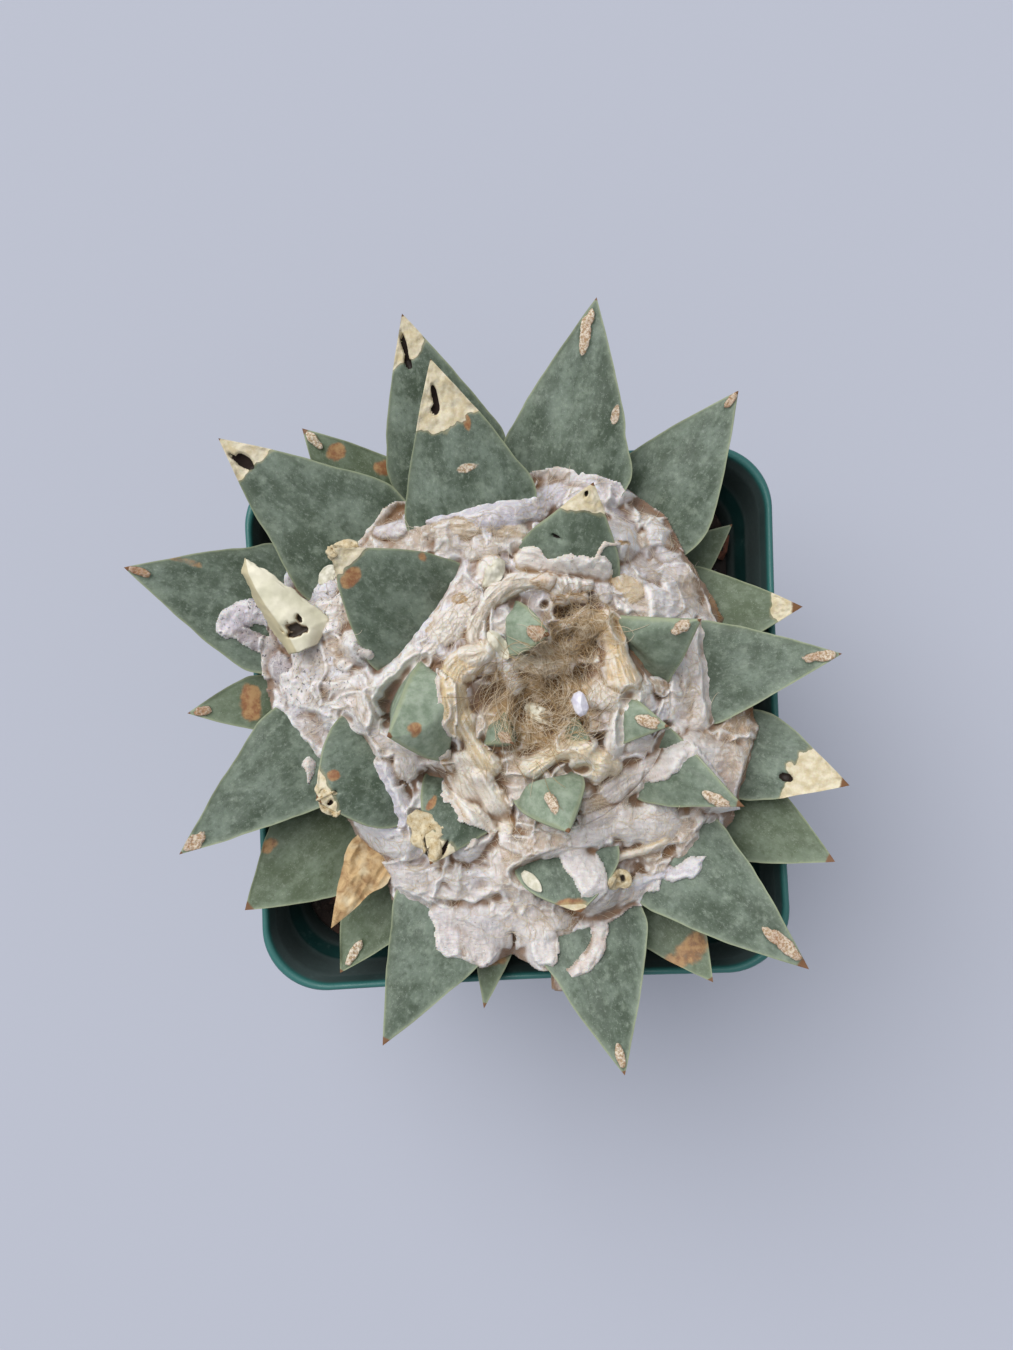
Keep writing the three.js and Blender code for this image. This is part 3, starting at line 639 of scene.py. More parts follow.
ALONG, UPPER, LOWER = 120, 46, 22
NETS, SURFACES = {}, {}
for number in range(1, TUBERCLES + 1):
    name = f"tubercle_{number:02d}"
    net = NETS[number] = net_of(name)
    marks = MARKS.get(number, {})
    seed = 100 + number
    u = np.linspace(0, 1, ALONG)
    share = 1 - (1 - u) ** 1.25
    share = share * 0.6 + u * 0.4
    width, crown, depth, arch = (eased(share, net["share"], net[k])
                                 for k in ("width", "crown", "depth", "arch"))
    width = np.maximum(width, 0.25 * (1 - share) ** 0.5)
    upper_v = np.sin(np.linspace(-1, 1, UPPER) * math.pi / 2)
    lower_v = np.sin(np.linspace(1, -1, LOWER) * math.pi / 2)[1:-1]
    v = np.concatenate([upper_v, lower_v])[::-1]
    top = np.concatenate([np.ones(UPPER), np.zeros(LOWER - 2)])[::-1]
    V, S = np.meshgrid(v, share)
    W, C, D, A = (np.repeat(k[:, None], len(v), 1) for k in (width, crown, depth, arch))
    top = np.repeat(top[None], ALONG, 0)
    back = (1 - S) * net["length"]
    side = V * W
    flat = np.column_stack([side.ravel(), back.ravel(), top.ravel() * 7.0])
    wavy = waves(np.column_stack([np.sign(side.ravel()) * 30, back.ravel(), flat[:, 2] * 0]), 6.0, seed, 3)
    wavy = wavy.reshape(V.shape)
    W = W * (1 + 0.035 * wavy * step(1.0, 6.0, back))
    side = V * W
    plump = 0.1 if FIRST_IN_WOOL <= number < FIRST_LOWER else 0.0
    rise = (C + plump * W) * (1 - np.abs(V) ** (2.3 + 6 * plump))
    dish = (0.05 - 0.4 * plump) * W * (1 - V**2) * step(0.45, 0.85, S)
    fold = waves(flat * [1.0, 0.35, 1], 4.5, seed + 50, 2).reshape(V.shape)
    lump = waves(flat, 9.0, seed + 90, 2).reshape(V.shape)
    fade = step(0.0, 2.5, W) * (1 - np.abs(V) ** 6)
    rise = rise - dish + fade * (0.22 * fold + 0.4 * lump)
    if number in RIDGES:
        at_base, at_tip, steep = RIDGES[number]
        blade = np.clip((S - net["share"][2]) / (1 - net["share"][2]), 0, 1)
        peak = at_base + (at_tip - at_base) * blade
        tent = np.where(V < peak, (1 + V) / (1 + peak), (1 - V) / (1 - peak))
        tent = 1 - np.sqrt((1 - tent) ** 2 + 0.012) + 0.11 * (1 - tent)
        rise = rise + steep * W * tent * step(0, 0.1, 1 - np.abs(V)) * step(0.0, 0.25, blade)
    rim_mm = (1 - np.abs(V)) * W
    rise = rise + 0.22 * np.exp(-((rim_mm / 0.5) ** 2)) * step(0.3, 2.0, W)
    drop = -D * (1 - np.abs(V) ** 1.75) + fade * 0.3 * lump - 0.15
    lift = np.where(top > 0.5, rise, drop)

    def gap(place, extent):
        """1 on the ellipse round a place, less inside it."""
        return ((back - place[0]) / (extent[0] / 2)) ** 2 + ((side - place[1]) / (extent[1] / 2)) ** 2

    rough_edge = waves(flat, 2.4, seed + 7, 3, 0.45).reshape(V.shape)
    pad = np.zeros_like(V)
    pad_tone = np.full_like(V, 0.3)
    if "pad" in marks:
        place, extent = marks["pad"][:2], marks["pad"][2:4]
        torn = waves(flat, 1.2, seed + 8, 3, 0.6).reshape(V.shape)
        pad = (1 - step(0.45, 1.5, gap(place, extent) + 0.35 * rough_edge + 0.45 * torn)) * top
        pad_tone = np.full_like(V, marks["pad"][4]) + 0.25 * rough_edge
        lift = lift + pad * (0.5 + 0.18 * waves(flat, 0.6, seed + 9, 2).reshape(V.shape))
    cork = np.zeros_like(V)
    if "cork" in marks:
        reach, lean = marks["cork"]
        limit = reach * (1 - 0.3 * lean * V) * (1 + 0.1 * rough_edge) + 0.45 * rough_edge
        cork = 1 - step(-0.9, 0.9, back - limit)
        crumble = 0.3 * waves(flat, 1.1, seed + 11, 3).reshape(V.shape) * step(0.1, 1.5, W)
        lift = lift + cork * (crumble - 0.2 * top)
    pit = np.zeros_like(V)
    for hole in marks.get("pits", []):
        here = 1 - step(0.5, 1.6, gap(hole[:2], hole[2:4]) + 0.5 * rough_edge)
        pit = np.maximum(pit, here * top)
    lift = lift - pit * np.minimum(1.3, 0.5 * W)
    rust = np.zeros_like(V)
    for stain in marks.get("rust", []):
        here = 1 - step(0.2, 1.6, gap(stain[:2], stain[2:4]) + 0.45 * rough_edge)
        if stain[4] < 0:
            pad = np.maximum(pad, here * top * -stain[4])
            pad_tone = np.where(here > 0.1, 0.12, pad_tone)
        else:
            rust = np.maximum(rust, here * min(stain[4], 1.0) * (0.4 + 0.6 * top))
    brown = 1 - step(0.3, 1.0, back / marks.get("browntip", 0.8))
    points = (net["root"] + (S * net["length"])[..., None] * net["along"] + side[..., None] * net["across"]
              + (lift + A)[..., None] * net["up"])
    points, faces = skin_rings(list(points))
    points[-1] = net["tip"]
    SURFACES[number] = np.dstack([points[:-2].reshape(ALONG, len(v), 3), S])
    stretch = lambda a: np.concatenate([a.ravel(), [a[0].mean(), a[-1].mean()]])
    piece = make_piece(
        f"tubercle_skin_{number:02d}", points, faces, waxy,
        marks={"edge": stretch(np.exp(-rim_mm / 0.9)), "pad": stretch(pad), "pad_tone": stretch(pad_tone),
               "cork": stretch(cork), "pit": stretch(pit), "rust": stretch(rust), "brown": stretch(brown),
               "youth": stretch(np.full_like(V, PALENESS.get(number, 0.0))),
               "age": stretch(np.full_like(V, 0.15 if number < FIRST_LOWER else 0.7) + 0.35 * (1 - top))},
        vectors={"grain": np.column_stack([stretch(side + 0.0), stretch(back + number * 37.0),
                                           stretch(top * 9.0)])})
    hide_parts(name)

# ---------------------------------------------------------------------------------------------------
# Dead tubercles: one has dried to a tan, crumpled wedge between two live ones, and one is only a
# bleached, split shell with a hollow in it, lying on the wool.
# ---------------------------------------------------------------------------------------------------
parched, tree, shader, at = begin("dried_tubercle_tissue")
# Dried plant tissue: papery, ochre to tan with darker creases, and a faint sheen where it is horny.
crease = add(tree, "TexNoise", at, 1 / 2.4, 5.0, 0.65, 2.0, 0.6)
tan = laid_over(tree, "#98734a",
                (crease, 0.3, 0.68, 1.0, "#d2b281"),
                (add(tree, "TexNoise", at, 1 / 5, 3.0, 0.55), 0.46, 0.68, 0.85, "#e9dab6"))
tree.links.new(tan, shader.inputs["Base Color"])
shader.inputs["Roughness"].default_value = 0.72
tree.links.new(add(tree, "Bump", 0.8, 0.5 * MM, None, crease), shader.inputs["Normal"])

bleached, tree, shader, at = begin("bleached_shell_tissue")
# The sun-bleached shell: cream with a green cast, thin and a little shiny outside, with painted shade in
# the split.
fade_in = add(tree, "TexNoise", at, 1 / 4, 4.0, 0.6)
cream = laid_over(tree, "#dcd7bb", (fade_in, 0.3, 0.7, 1.0, "#efe8d0"))
cream = add(tree, "Mix",
            add(tree, "Math", add(tree, "Attribute", attribute_name="flank", output="Fac"), 0.8,
                operation="MULTIPLY"), cream, "#bfb28a", data_type="RGBA")
# Painted shade: the split is painted brown, then near-black at its deepest.
cream = laid_over(tree, cream,
                  (add(tree, "Attribute", attribute_name="shaded_hollow", output="Fac"), 0.15, 0.4, 0.8,
                   "#8a6a48"),
                  (add(tree, "Attribute", attribute_name="shaded_hollow", output="Fac"), 0.45, 0.8, 1.0,
                   "#3b3026"))
tree.links.new(cream, shader.inputs["Base Color"])
shader.inputs["Roughness"].default_value = 0.55
tree.links.new(add(tree, "Bump", 0.7, 0.3 * MM, None, fade_in), shader.inputs["Normal"])

net = net_of("shrivelled_tubercle")
share = np.linspace(0, 1, 110)
width, crown, depth, arch = (eased(share, net["share"], net[k])
                             for k in ("width", "crown", "depth", "arch"))
v = np.concatenate([np.sin(np.linspace(-1, 1, 56) * math.pi / 2),
                    np.sin(np.linspace(1, -1, 24) * math.pi / 2)[1:-1]])[::-1]
top = np.concatenate([np.ones(56), np.zeros(22)])[::-1]
V, S = np.meshgrid(v, share)
W, C, D, A = (np.repeat(k[:, None], len(v), 1) for k in (width, crown, depth, arch))
top = np.repeat(top[None], len(share), 0)
back = (1 - S) * net["length"]
W = W * (1 + 0.16
         * waves(np.column_stack([np.sign(V).ravel() * 20, back.ravel()]), 4, 301, 3).reshape(V.shape))
side = V * W
flat = np.column_stack([side.ravel(), back.ravel(), top.ravel() * 5])
creases = waves(flat * [1, 0.45, 1], 3.2, 300, 3).reshape(V.shape)
pleats = 1 - np.abs(waves(flat * [1, 0.3, 1], 2.4, 302, 2).reshape(V.shape))
rise = np.where(top > 0.5, C * (1 - np.abs(V) ** 2.3), -D * (1 - np.abs(V) ** 1.8) - 0.1)
rise = rise + (1.2 * creases + 0.9 * (pleats - 0.6)) * step(0, 2.5, W) * (1 - V**4)
points = (net["root"] + (S * net["length"])[..., None] * net["along"] + side[..., None] * net["across"]
          + (rise + A)[..., None] * net["up"])
points, faces = skin_rings(list(points))
points[-1] = net["tip"]
piece = make_piece("dried_wedge", points, faces, parched)
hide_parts("shrivelled_tubercle")

# The shell's left edge, its ridge and its right edge, from the tip down: (x, y, z).
SHELL_LEFT = [(-48.7, 32.2, 119.6), (-49.6, 29.6, 118.6), (-48.6, 27, 117.6), (-47.4, 23.8, 116.6),
              (-46.2, 20.8, 116), (-44, 17.4, 115.6), (-42.3, 14.4, 115.4)]
SHELL_RIDGE = [(-48.4, 32, 119.8), (-47.8, 29.2, 120.2), (-46.6, 26.4, 120.4), (-45, 23.4, 120.2),
               (-43, 20.4, 119.6), (-41.2, 17.6, 118.8), (-40, 14.6, 117.8)]
SHELL_RIGHT = [(-48.1, 31.9, 119.6), (-45.6, 30.4, 120), (-42.4, 27.9, 119.6), (-39.2, 25.4, 118.8),
               (-36.2, 22.8, 117.8), (-34.2, 20.4, 117), (-36.8, 16, 116.4)]


def swept(line, count):
    """A smooth line of evenly numbered points through those given, in space."""
    p = np.asarray(line, float)
    knots = np.arange(len(p))
    at = np.linspace(0, len(p) - 1, count)
    return np.column_stack([np.interp(at, knots, p[:, i]) for i in range(3)])


rows = 80
left, ridge, right = (swept(line, rows) for line in (SHELL_LEFT, SHELL_RIDGE, SHELL_RIGHT))
v = np.linspace(-1, 1, 49)
outer = np.where(v[None, :, None] < 0, ridge[:, None] + (left - ridge)[:, None] * -v[None, :, None],
                 ridge[:, None] + (right - ridge)[:, None] * v[None, :, None])
outer[..., 2] += 0.9 * np.sin(math.pi * np.abs(v))[None] * np.linspace(0.2, 1, rows)[:, None]
flat = outer.reshape(-1, 3)
outer[..., 2] += 0.25 * waves(flat, 3.0, 310, 3).reshape(rows, -1)
tear = np.hypot((flat[:, 0] + 40.2) / 2.4, (flat[:, 1] - 18.9) / 1.5) + 0.45 * waves(flat, 1.1, 311, 3)
slit = np.hypot((flat[:, 0] + 39.3 + 0.3 * (flat[:, 1] - 20.5)) / 0.5, (flat[:, 1] - 20.9) / 1.3)
tear = 1 - step(0.55, 0.95, np.minimum(tear, slit + 0.3 * waves(flat, 0.9, 312, 2)))
tear = tear.reshape(rows, -1)
outer[..., 2] -= 1.6 * tear
outer[..., :2] += 0.25 * (waves(flat, 1.6, 313, 3).reshape(rows, -1) * (np.abs(v)[None] > 0.9))[..., None]
inner = outer - [0, 0, 0.55]
points, faces = skin_rings(list(np.concatenate([outer, inner[:, ::-1]], axis=1)[:, ::-1]))
doubled = lambda a: np.concatenate([np.concatenate([a, a[:, ::-1]], 1)[:, ::-1].ravel(), [0, 0]])
piece = make_piece("bleached_shell", points, faces, bleached,
                   marks={"shaded_hollow": doubled(tear),
                          "flank": doubled(np.repeat(step(0.0, 0.15, -v)[None], rows, 0))})
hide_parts("bleached_husk")

# ---------------------------------------------------------------------------------------------------
# The wool: years of areole hair felted by rain into one mat. It lies against every tubercle without
# covering it, is combed into folds and ropes between them, and ends in a torn hem over the lowest.
# ---------------------------------------------------------------------------------------------------
# The hem's radius every 15 degrees from +X, and the height there.
HEM = [44, 41, 42, 43, 45, 45.5, 44, 42, 46, 46, 52, 52, 49, 46, 43, 44, 48, 51.5, 50, 44, 44.5, 45, 45, 46]
HEM_HEIGHT = 106.0
CELL = 0.31
SPAN = 62.0

# Folds of the mat as (line it runs along, half-width, rise, crest colour, flank colour, combed share).
# The crest colour is painted highlight and the flank colour painted shade.
FOLDS = [
    ([(-42, 6), (-36, 11), (-30, 9), (-26, 6)], 4.6, 1.0, "#dedade", "#cfc9d0"),
    ([(-38, 21), (-35, 26)], 3.0, 1.0, "#dcd8e0", "#c2bcc4"),
    ([(-31, 3), (-26, 0), (-22, -3), (-20.5, -7)], 3.0, 1.4, "#ded6d2", "#a8937c"),
    ([(-25.5, -8), (-26, -12), (-22.5, -16)], 2.8, 1.6, "#cdc8d2", "#9b8570"),
    ([(-24, -0.8), (-20.5, -3.6), (-17, -4.8)], 1.5, 1.4, "#e2d8d0", "#b39a80"),
    ([(-30, -20.5), (-26.5, -22.8), (-22.5, -23.2)], 3.2, 2.0, "#dddada", "#b1a7a4"),
    ([(-25, -29.8), (-17, -30.2), (-9.5, -29.2)], 4.3, 1.6, "#cfc8c6", "#a5968a"),
    ([(-14, -38.5), (-7, -37.5), (2, -37)], 3.6, 1.4, "#d6d0d0", "#a99a8e"),
    # Painted shade: this fold is brown all over, for the shade between the lobes.
    ([(9, -35), (9.5, -40)], 2.6, 0.7, "#a98d74", "#8c7057"),
    ([(14, -35), (18, -35.8), (22, -34.5)], 1.9, 1.5, "#cdc3bd", "#a08d7e"),
    ([(22, -32.5), (27, -31), (32.5, -29.3)], 2.6, 1.8, "#d6d4de", "#a99c98"),
    ([(28.5, -31), (29.8, -35)], 1.6, 1.2, "#d2ccd0", "#a99c98"),
    ([(31.5, -17), (31, -22), (31.6, -26.5)], 2.6, 1.2, "#b5a292", "#8f7a67"),
    ([(35.5, -19.2), (41, -20)], 1.7, 1.0, "#bdb0ac", "#8d7c70"),
    ([(46, 2), (44, -5), (41.5, -13)], 2.6, 1.2, "#b3906b", "#8a6a48"),
    ([(40, 10), (41, 3)], 2.4, 1.0, "#c0a68c", "#97805f"),
    ([(2, -21.5), (8, -22.3), (15, -21), (21, -20), (26, -20.2)], 3.6, 1.9, "#dcd4d0", "#a5907a"),
    ([(13, -30), (16.5, -26.8), (22, -25.2), (26.5, -23.4)], 1.3, 1.9, "#d6bd92", "#a98250"),
    ([(1, -33), (4, -35), (6.5, -38)], 2.2, 1.2, "#cfc6c2", "#9d8a78"),
    ([(17.5, -13.5), (22, -11), (27, -8.2), (32, -4.5), (35, 1), (35.5, 8), (34.5, 13)], 3.6, 1.9,
     "#dbd1cb", "#ab957f"),
    ([(21.5, -4.8), (26, -5.2), (31, -2)], 2.2, 1.5, "#e3d9d2", "#ab957f"),
    ([(25, 6.4), (29, 5), (33, 6.5)], 2.0, 0.9, "#b39a7e", "#7f6244"),
    ([(37, 17), (39.5, 12.5)], 2.2, 1.2, "#cbbcb2", "#a08465"),
    ([(20.5, 42.3), (24.5, 43.5)], 2.2, 1.3, "#c4b3ae", "#9d877c"),
    ([(20, 39), (23, 36)], 2.0, 1.4, "#c9c3ce", "#a59a9c"),
    ([(26, 38.5), (30, 38), (32.5, 35.5)], 2.7, 1.9, "#dccbba", "#ad8f76"),
    ([(25, 33.3), (28, 32.8), (32, 33.2)], 2.2, 1.6, "#d3bda8", "#a5805e"),
    ([(23, 30.5), (24.5, 27), (30, 26.5)], 3.2, 1.1, "#c5b7b0", "#b08a60"),
    ([(33.5, 31.4), (37, 31.2)], 1.4, 1.4, "#c09566", "#8f5f30"),
    ([(36.8, 29), (35.5, 24.5)], 2.5, 1.2, "#bb854a", "#8f5f30"),
    ([(32, 22.3), (36, 19.8)], 1.9, 1.0, "#d3c6be", "#a88f78"),
    ([(39, 23.5), (41.5, 20)], 2.2, 1.1, "#cba873", "#a27a46"),
    ([(19.5, 25.8), (22.5, 23.6)], 2.6, 1.1, "#d4bd98", "#a98553"),
    ([(-18, 40.3), (-9, 39), (-2, 38.4), (4, 39.4), (8.5, 43)], 2.4, 1.7, "#d4ced8", "#a99d9c"),
    ([(-13, 36.4), (-5, 35.8), (1.5, 34.6)], 2.4, 1.2, "#c5af92", "#a58d6e", 0.9),
    ([(-7, 31), (-2, 32.2), (2, 31.8)], 2.2, 1.2, "#cfc4ba", "#a08869"),
    ([(-24.3, 41.5), (-25.4, 37.5), (-21, 36.8)], 1.8, 1.5, "#cbc1c6", "#958681"),
    ([(9, 45), (7, 42.2)], 1.8, 1.0, "#b59d90", "#8f7565"),
    ([(-24.6, 6.4), (-20, 10.4), (-15, 14.6), (-11, 19), (-7.5, 23), (-4, 27.4)], 3.3, 2.3, "#eee5db",
     "#bd9560", 0.6),
    ([(-9.5, 22.4), (-5.6, 22.6)], 1.8, 1.6, "#b08b58", "#93703f"),
    ([(7, 25.3), (1.5, 25.6), (-3.5, 23.5), (-6.3, 19.5), (-7.6, 16), (-6.8, 13.7)], 2.1, 2.6, "#e3d6c4",
     "#b08a54", 1.0),
    ([(6.4, 25.4), (2.5, 25.5)], 1.5, 2.9, "#bd9257", "#a07743"),
    ([(-3.6, 15), (-3, 12), (-1.6, 9.5), (-0.5, 6.8)], 2.1, 1.9, "#efebe8", "#c9bcae"),
    ([(-8.5, -22), (-6, -21.5), (-6.3, -26)], 1.7, 1.3, "#d3cac6", "#978069"),
    ([(-3, -21), (1, -19.8)], 1.6, 0.8, "#8f7458", "#6b5238"),
    ([(2, -8.5), (5, -6.6), (9, -5), (12.5, -7.4), (17, -9)], 3.0, 3.2, "#ecd9b4", "#a87a3c", 0.5),
    ([(9, -3.2), (9.6, -5)], 1.5, 3.3, "#cfb07a", "#9d7640"),
    ([(12, -16), (15.5, -15), (18.5, -13.5)], 2.4, 1.4, "#c0a78c", "#8f7458"),
    ([(12.5, -18.5), (19.5, -18)], 2.0, 1.2, "#d0c5c0", "#9d8a78"),
    ([(15.6, 4.4), (19, 3.8), (22.8, 5.2)], 2.2, 1.7, "#e5dccf", "#b59a73"),
    ([(20, 3.2), (18.4, -1), (17, -5.4)], 2.1, 1.7, "#e2d9cf", "#a98f6f"),
    ([(13, 17.3), (16.6, 17.4), (18.2, 13.5), (18.5, 9.5), (19, 7)], 2.8, 3.0, "#dcbd88", "#9a7036", 0.8),
    ([(18.3, 11), (18.6, 8.6)], 1.8, 3.3, "#e8dabc", "#ad8a55"),
    ([(16, 17), (18, 16)], 1.6, 3.3, "#dfc9a2", "#ad8a55"),
    ([(8, 28.6), (8.6, 24.2)], 1.9, 2.4, "#f1ebe5", "#b9996c", 1.0),
    ([(11, 28.8), (11.4, 24.2)], 1.8, 2.6, "#f3ede7", "#b9996c", 1.0),
    ([(14.2, 28), (13.4, 24.6)], 1.7, 2.2, "#e4dad0", "#ad8e63", 0.9),
    ([(8, 22.8), (12.6, 22.4)], 1.5, 1.8, "#a27a44", "#7d5a30"),
    ([(9.6, 17.2), (12.4, 19), (15, 18.3)], 1.7, 2.4, "#cbb698", "#96784d", 1.0),
    ([(15.4, 26), (16.6, 22.4)], 1.9, 1.5, "#cbc3c2", "#a08c78"),
    ([(3.5, 15.5), (6.5, 12.5), (9.5, 13.5)], 1.7, 1.6, "#cdb68f", "#94733f"),
    ([(0.5, 11), (5, 10), (9, 10.5)], 1.8, 1.4, "#d3c4ac", "#94733f"),
]
# Folds that have slumped over a tubercle, given the same way. The first ones hang past the hem.
HANGING = 8
OVERLAPS = [
    ([(-54.6, 20), (-52, 22.6), (-47.5, 22.6), (-44, 20)], 3.0, 1.5, "#dcd4db", "#8d8288"),
    ([(-51.5, 18.4), (-47.5, 16)], 1.9, 1.0, "#aba0a5", "#746a6d"),
    ([(-47, 13), (-44.6, 11)], 2.3, 1.0, "#aba1a5", "#7c7174"),
    ([(12.8, -36), (13.9, -40), (12.4, -44.4), (8.6, -47.8), (5.8, -50.6)], 1.8, 1.3, "#e0d3ca", "#a88e78"),
    ([(28, -30.5), (31, -29.6), (33.8, -28.9)], 2.0, 1.0, "#d9d5de", "#a99c98"),
    ([(0.5, -36.5), (2.2, -40.5), (2.6, -44.4)], 3.6, 1.0, "#ddd6d3", "#a8937f"),
    ([(-15.6, -37), (-15.2, -43.4)], 3.2, 1.0, "#dcd4d3", "#a8937f"),
    ([(-9.6, -37), (-8.6, -43)], 4.4, 0.9, "#d8cfcb", "#a8937f"),
    ([(17.2, -14), (20, -11), (25, -8.8), (30, -7.4), (34, -8.2), (36.4, -10.6)], 2.9, 1.3, "#dfd6d0",
     "#a88f78"),
    ([(18.5, -19.6), (22, -20.2), (26, -20.8), (29.6, -21)], 1.9, 0.9, "#d5cbc6", "#9d8a78"),
    ([(-6.6, 12.8), (-10, 10.5), (-11.4, 7), (-11.2, 3), (-9.8, -1), (-8, -5), (-6.2, -8)], 2.8, 3.2,
     "#e4cc9e", "#9c7034", 0.8),
    ([(-9, 12.3), (-6, 12.9)], 1.9, 3.5, "#ecdfca", "#bb9864", 0.4),
    ([(-11.3, 4.6), (-10.8, 2)], 1.8, 3.6, "#e5d3b3", "#bb9864", 0.4),
    ([(-10.6, -7), (-8.8, -11), (-6.2, -15.4), (-4, -19.4)], 4.8, 4.4, "#f2e6d4", "#bb8f52", 0.9),
    ([(6, -22.5), (9.4, -25.4), (11.6, -28.4), (12.6, -31)], 2.6, 1.4, "#e2dad6", "#b3a08c"),
    ([(17, -34.8), (20.5, -33), (23.5, -32)], 1.8, 1.2, "#cdc4bf", "#a08d7e"),
    ([(-9, -21.5), (-10.8, -24.6)], 0.8, 0.8, "#b09370", "#80603a", 0.8),
    ([(2.6, 29.4), (7, 27.9), (11.5, 27.4), (16, 26.8)], 2.3, 0.9, "#e6ded6", "#b3966a", 0.5),
    ([(-40.5, -7), (-42.3, -11.5), (-44.4, -16)], 1.5, 1.0, "#cbb3a3", "#97785f", 0.4),
    ([(15.2, 28.6), (16.8, 31), (19.2, 31.3), (21.8, 31.8)], 0.5, 0.5, "#c39a62", "#9d6c38", 1.0),
    ([(-26.5, 13.6), (-28.6, 14.6)], 1.3, 0.4, "#94775d", "#6b4d33"),
]
# Hollows sunk into the mat and painted dark brown as their shade: (x, y, radius, depth).
HOLLOWS = [(9, 20, 1.7, 3.0), (12.2, 8.6, 2.4, 3.2), (14.3, -3.4, 1.8, 2.6), (-12, -1.5, 1.6, 2.4),
           (-1.5, -20.5, 2.0, 1.2), (26.3, 4.2, 1.8, 1.6), (35.6, -18.4, 1.5, 1.4), (-9.4, -5.6, 1.0, 1.6),
           (-17, 11.6, 1.2, 1.5), (-28.5, 12.6, 1.8, 1.0), (11.2, -16.6, 0.8, 1.2), (13, -41.4, 1.0, 1.0),
           (5.5, 21.2, 0.9, 1.6), (6, 1.2, 4.0, 1.6), (0.5, 2.5, 3.0, 1.8), (-5, 5.5, 3.2, 1.6),
           (5, -1.8, 1.4, 1.6), (-22.2, -9.8, 1.6, 1.2), (25, 35.2, 1.2, 1.2), (-2, -42.6, 2.2, 1.5),
           (13.2, 13, 2.2, 1.6), (-36, 6.6, 2.2, 0.8), (7, 6.5, 2.2, 1.0)]


def sampled(grid, xy):
    """Bilinear values of a grid over the plan."""
    q = np.clip((xy + SPAN) / CELL, 0, grid.shape[0] - 1.001)
    c, r = q[:, 0], q[:, 1]
    c0, r0 = c.astype(int), r.astype(int)
    fc, fr = c - c0, r - r0
    return ((grid[r0, c0] * (1 - fc) + grid[r0, c0 + 1] * fc) * (1 - fr)
            + (grid[r0 + 1, c0] * (1 - fc) + grid[r0 + 1, c0 + 1] * fc) * fr)


def spline(points, steps=10):
    """A smooth line through the points, in the plane."""
    p = np.asarray(points, float)
    p = np.vstack([2 * p[0] - p[1], p, 2 * p[-1] - p[-2]])
    out = []
    for i in range(1, len(p) - 2):
        t = np.linspace(0, 1, steps, endpoint=False)[:, None]
        a, b, c, d = p[i - 1], p[i], p[i + 1], p[i + 2]
        out.append(0.5 * (2 * b + (c - a) * t + (2 * a - 5 * b + 4 * c - d) * t**2
                          + (3 * b - a - 3 * c + d) * t**3))
    return np.vstack(out + [p[-2][None]])


def near_line(xy, line):
    """Distance of each point to a line, how far along that is, and the line's direction there."""
    best = np.full(len(xy), 1e9)
    along, heading = np.zeros(len(xy)), np.zeros((len(xy), 2))
    run = 0.0
    for a, b in zip(line[:-1], line[1:]):
        size = np.linalg.norm(b - a)
        d = (b - a) / size
        t = np.clip((xy - a) @ d, 0, size)
        dist = np.linalg.norm(xy - a - t[:, None] * d, axis=1)
        closer = dist < best
        best[closer] = dist[closer]
        along[closer] = run + t[closer]
        heading[closer] = d
        run += size
    return best, along, heading


def spread(field, slope, reach):
    """The lowest cone of the given slope that rises from every cell, out to reach."""
    field = np.pad(field, 1, constant_values=1e6)
    for _ in range(int(reach / CELL)):
        near = field[1:-1, 1:-1]
        for dx, dy in ((0, 1), (1, 0), (0, -1), (-1, 0), (1, 1), (1, -1), (-1, 1), (-1, -1)):
            rise = slope * CELL * math.hypot(dx, dy)
            near = np.minimum(near, field[1 + dy : field.shape[0] - 1 + dy,
                                          1 + dx : field.shape[1] - 1 + dx] + rise)
        field[1:-1, 1:-1] = near
    return field[1:-1, 1:-1]


def blurred(grid, rounds):
    """A grid softened over about as many cells as it has rounds."""
    for _ in range(rounds):
        for axis in (0, 1):
            grid = 0.5 * grid + 0.25 * (np.roll(grid, 1, axis) + np.roll(grid, -1, axis))
    return grid


def plan_heights(clouds):
    """The highest point in each cell of the plan, -1e6 where there is none."""
    field = np.full((side_cells, side_cells), -1e6)
    for cloud in clouds:
        cell = np.round((cloud[:, :2] + SPAN) / CELL).astype(int)
        good = ((cell >= 0) & (cell < side_cells)).all(axis=1)
        np.maximum.at(field, (cell[good, 1], cell[good, 0]), cloud[good, 2])
    for _ in range(2):
        wide = np.pad(field, 1, constant_values=-1e6)
        best = np.max([wide[1 + dy : 1 + dy + side_cells, 1 + dx : 1 + dx + side_cells]
                       for dx in (-1, 0, 1) for dy in (-1, 0, 1)], axis=0)
        field = np.where(field < -1e5, best, field)
    return field


side_cells = int(2 * SPAN / CELL) + 1
ticks = np.arange(side_cells) * CELL - SPAN
gx, gy = np.meshgrid(ticks, ticks)
plan = np.column_stack([gx.ravel(), gy.ravel()])


def filled_in(grid):
    """A grid of points with two more between each pair, both ways."""
    for _ in (0, 1):
        grid = np.concatenate([grid[:-1] + (grid[1:] - grid[:-1]) * k / 3 for k in range(3)] + [grid[-1:]])
        grid = np.swapaxes(grid, 0, 1)
    return grid.reshape(-1, 4)


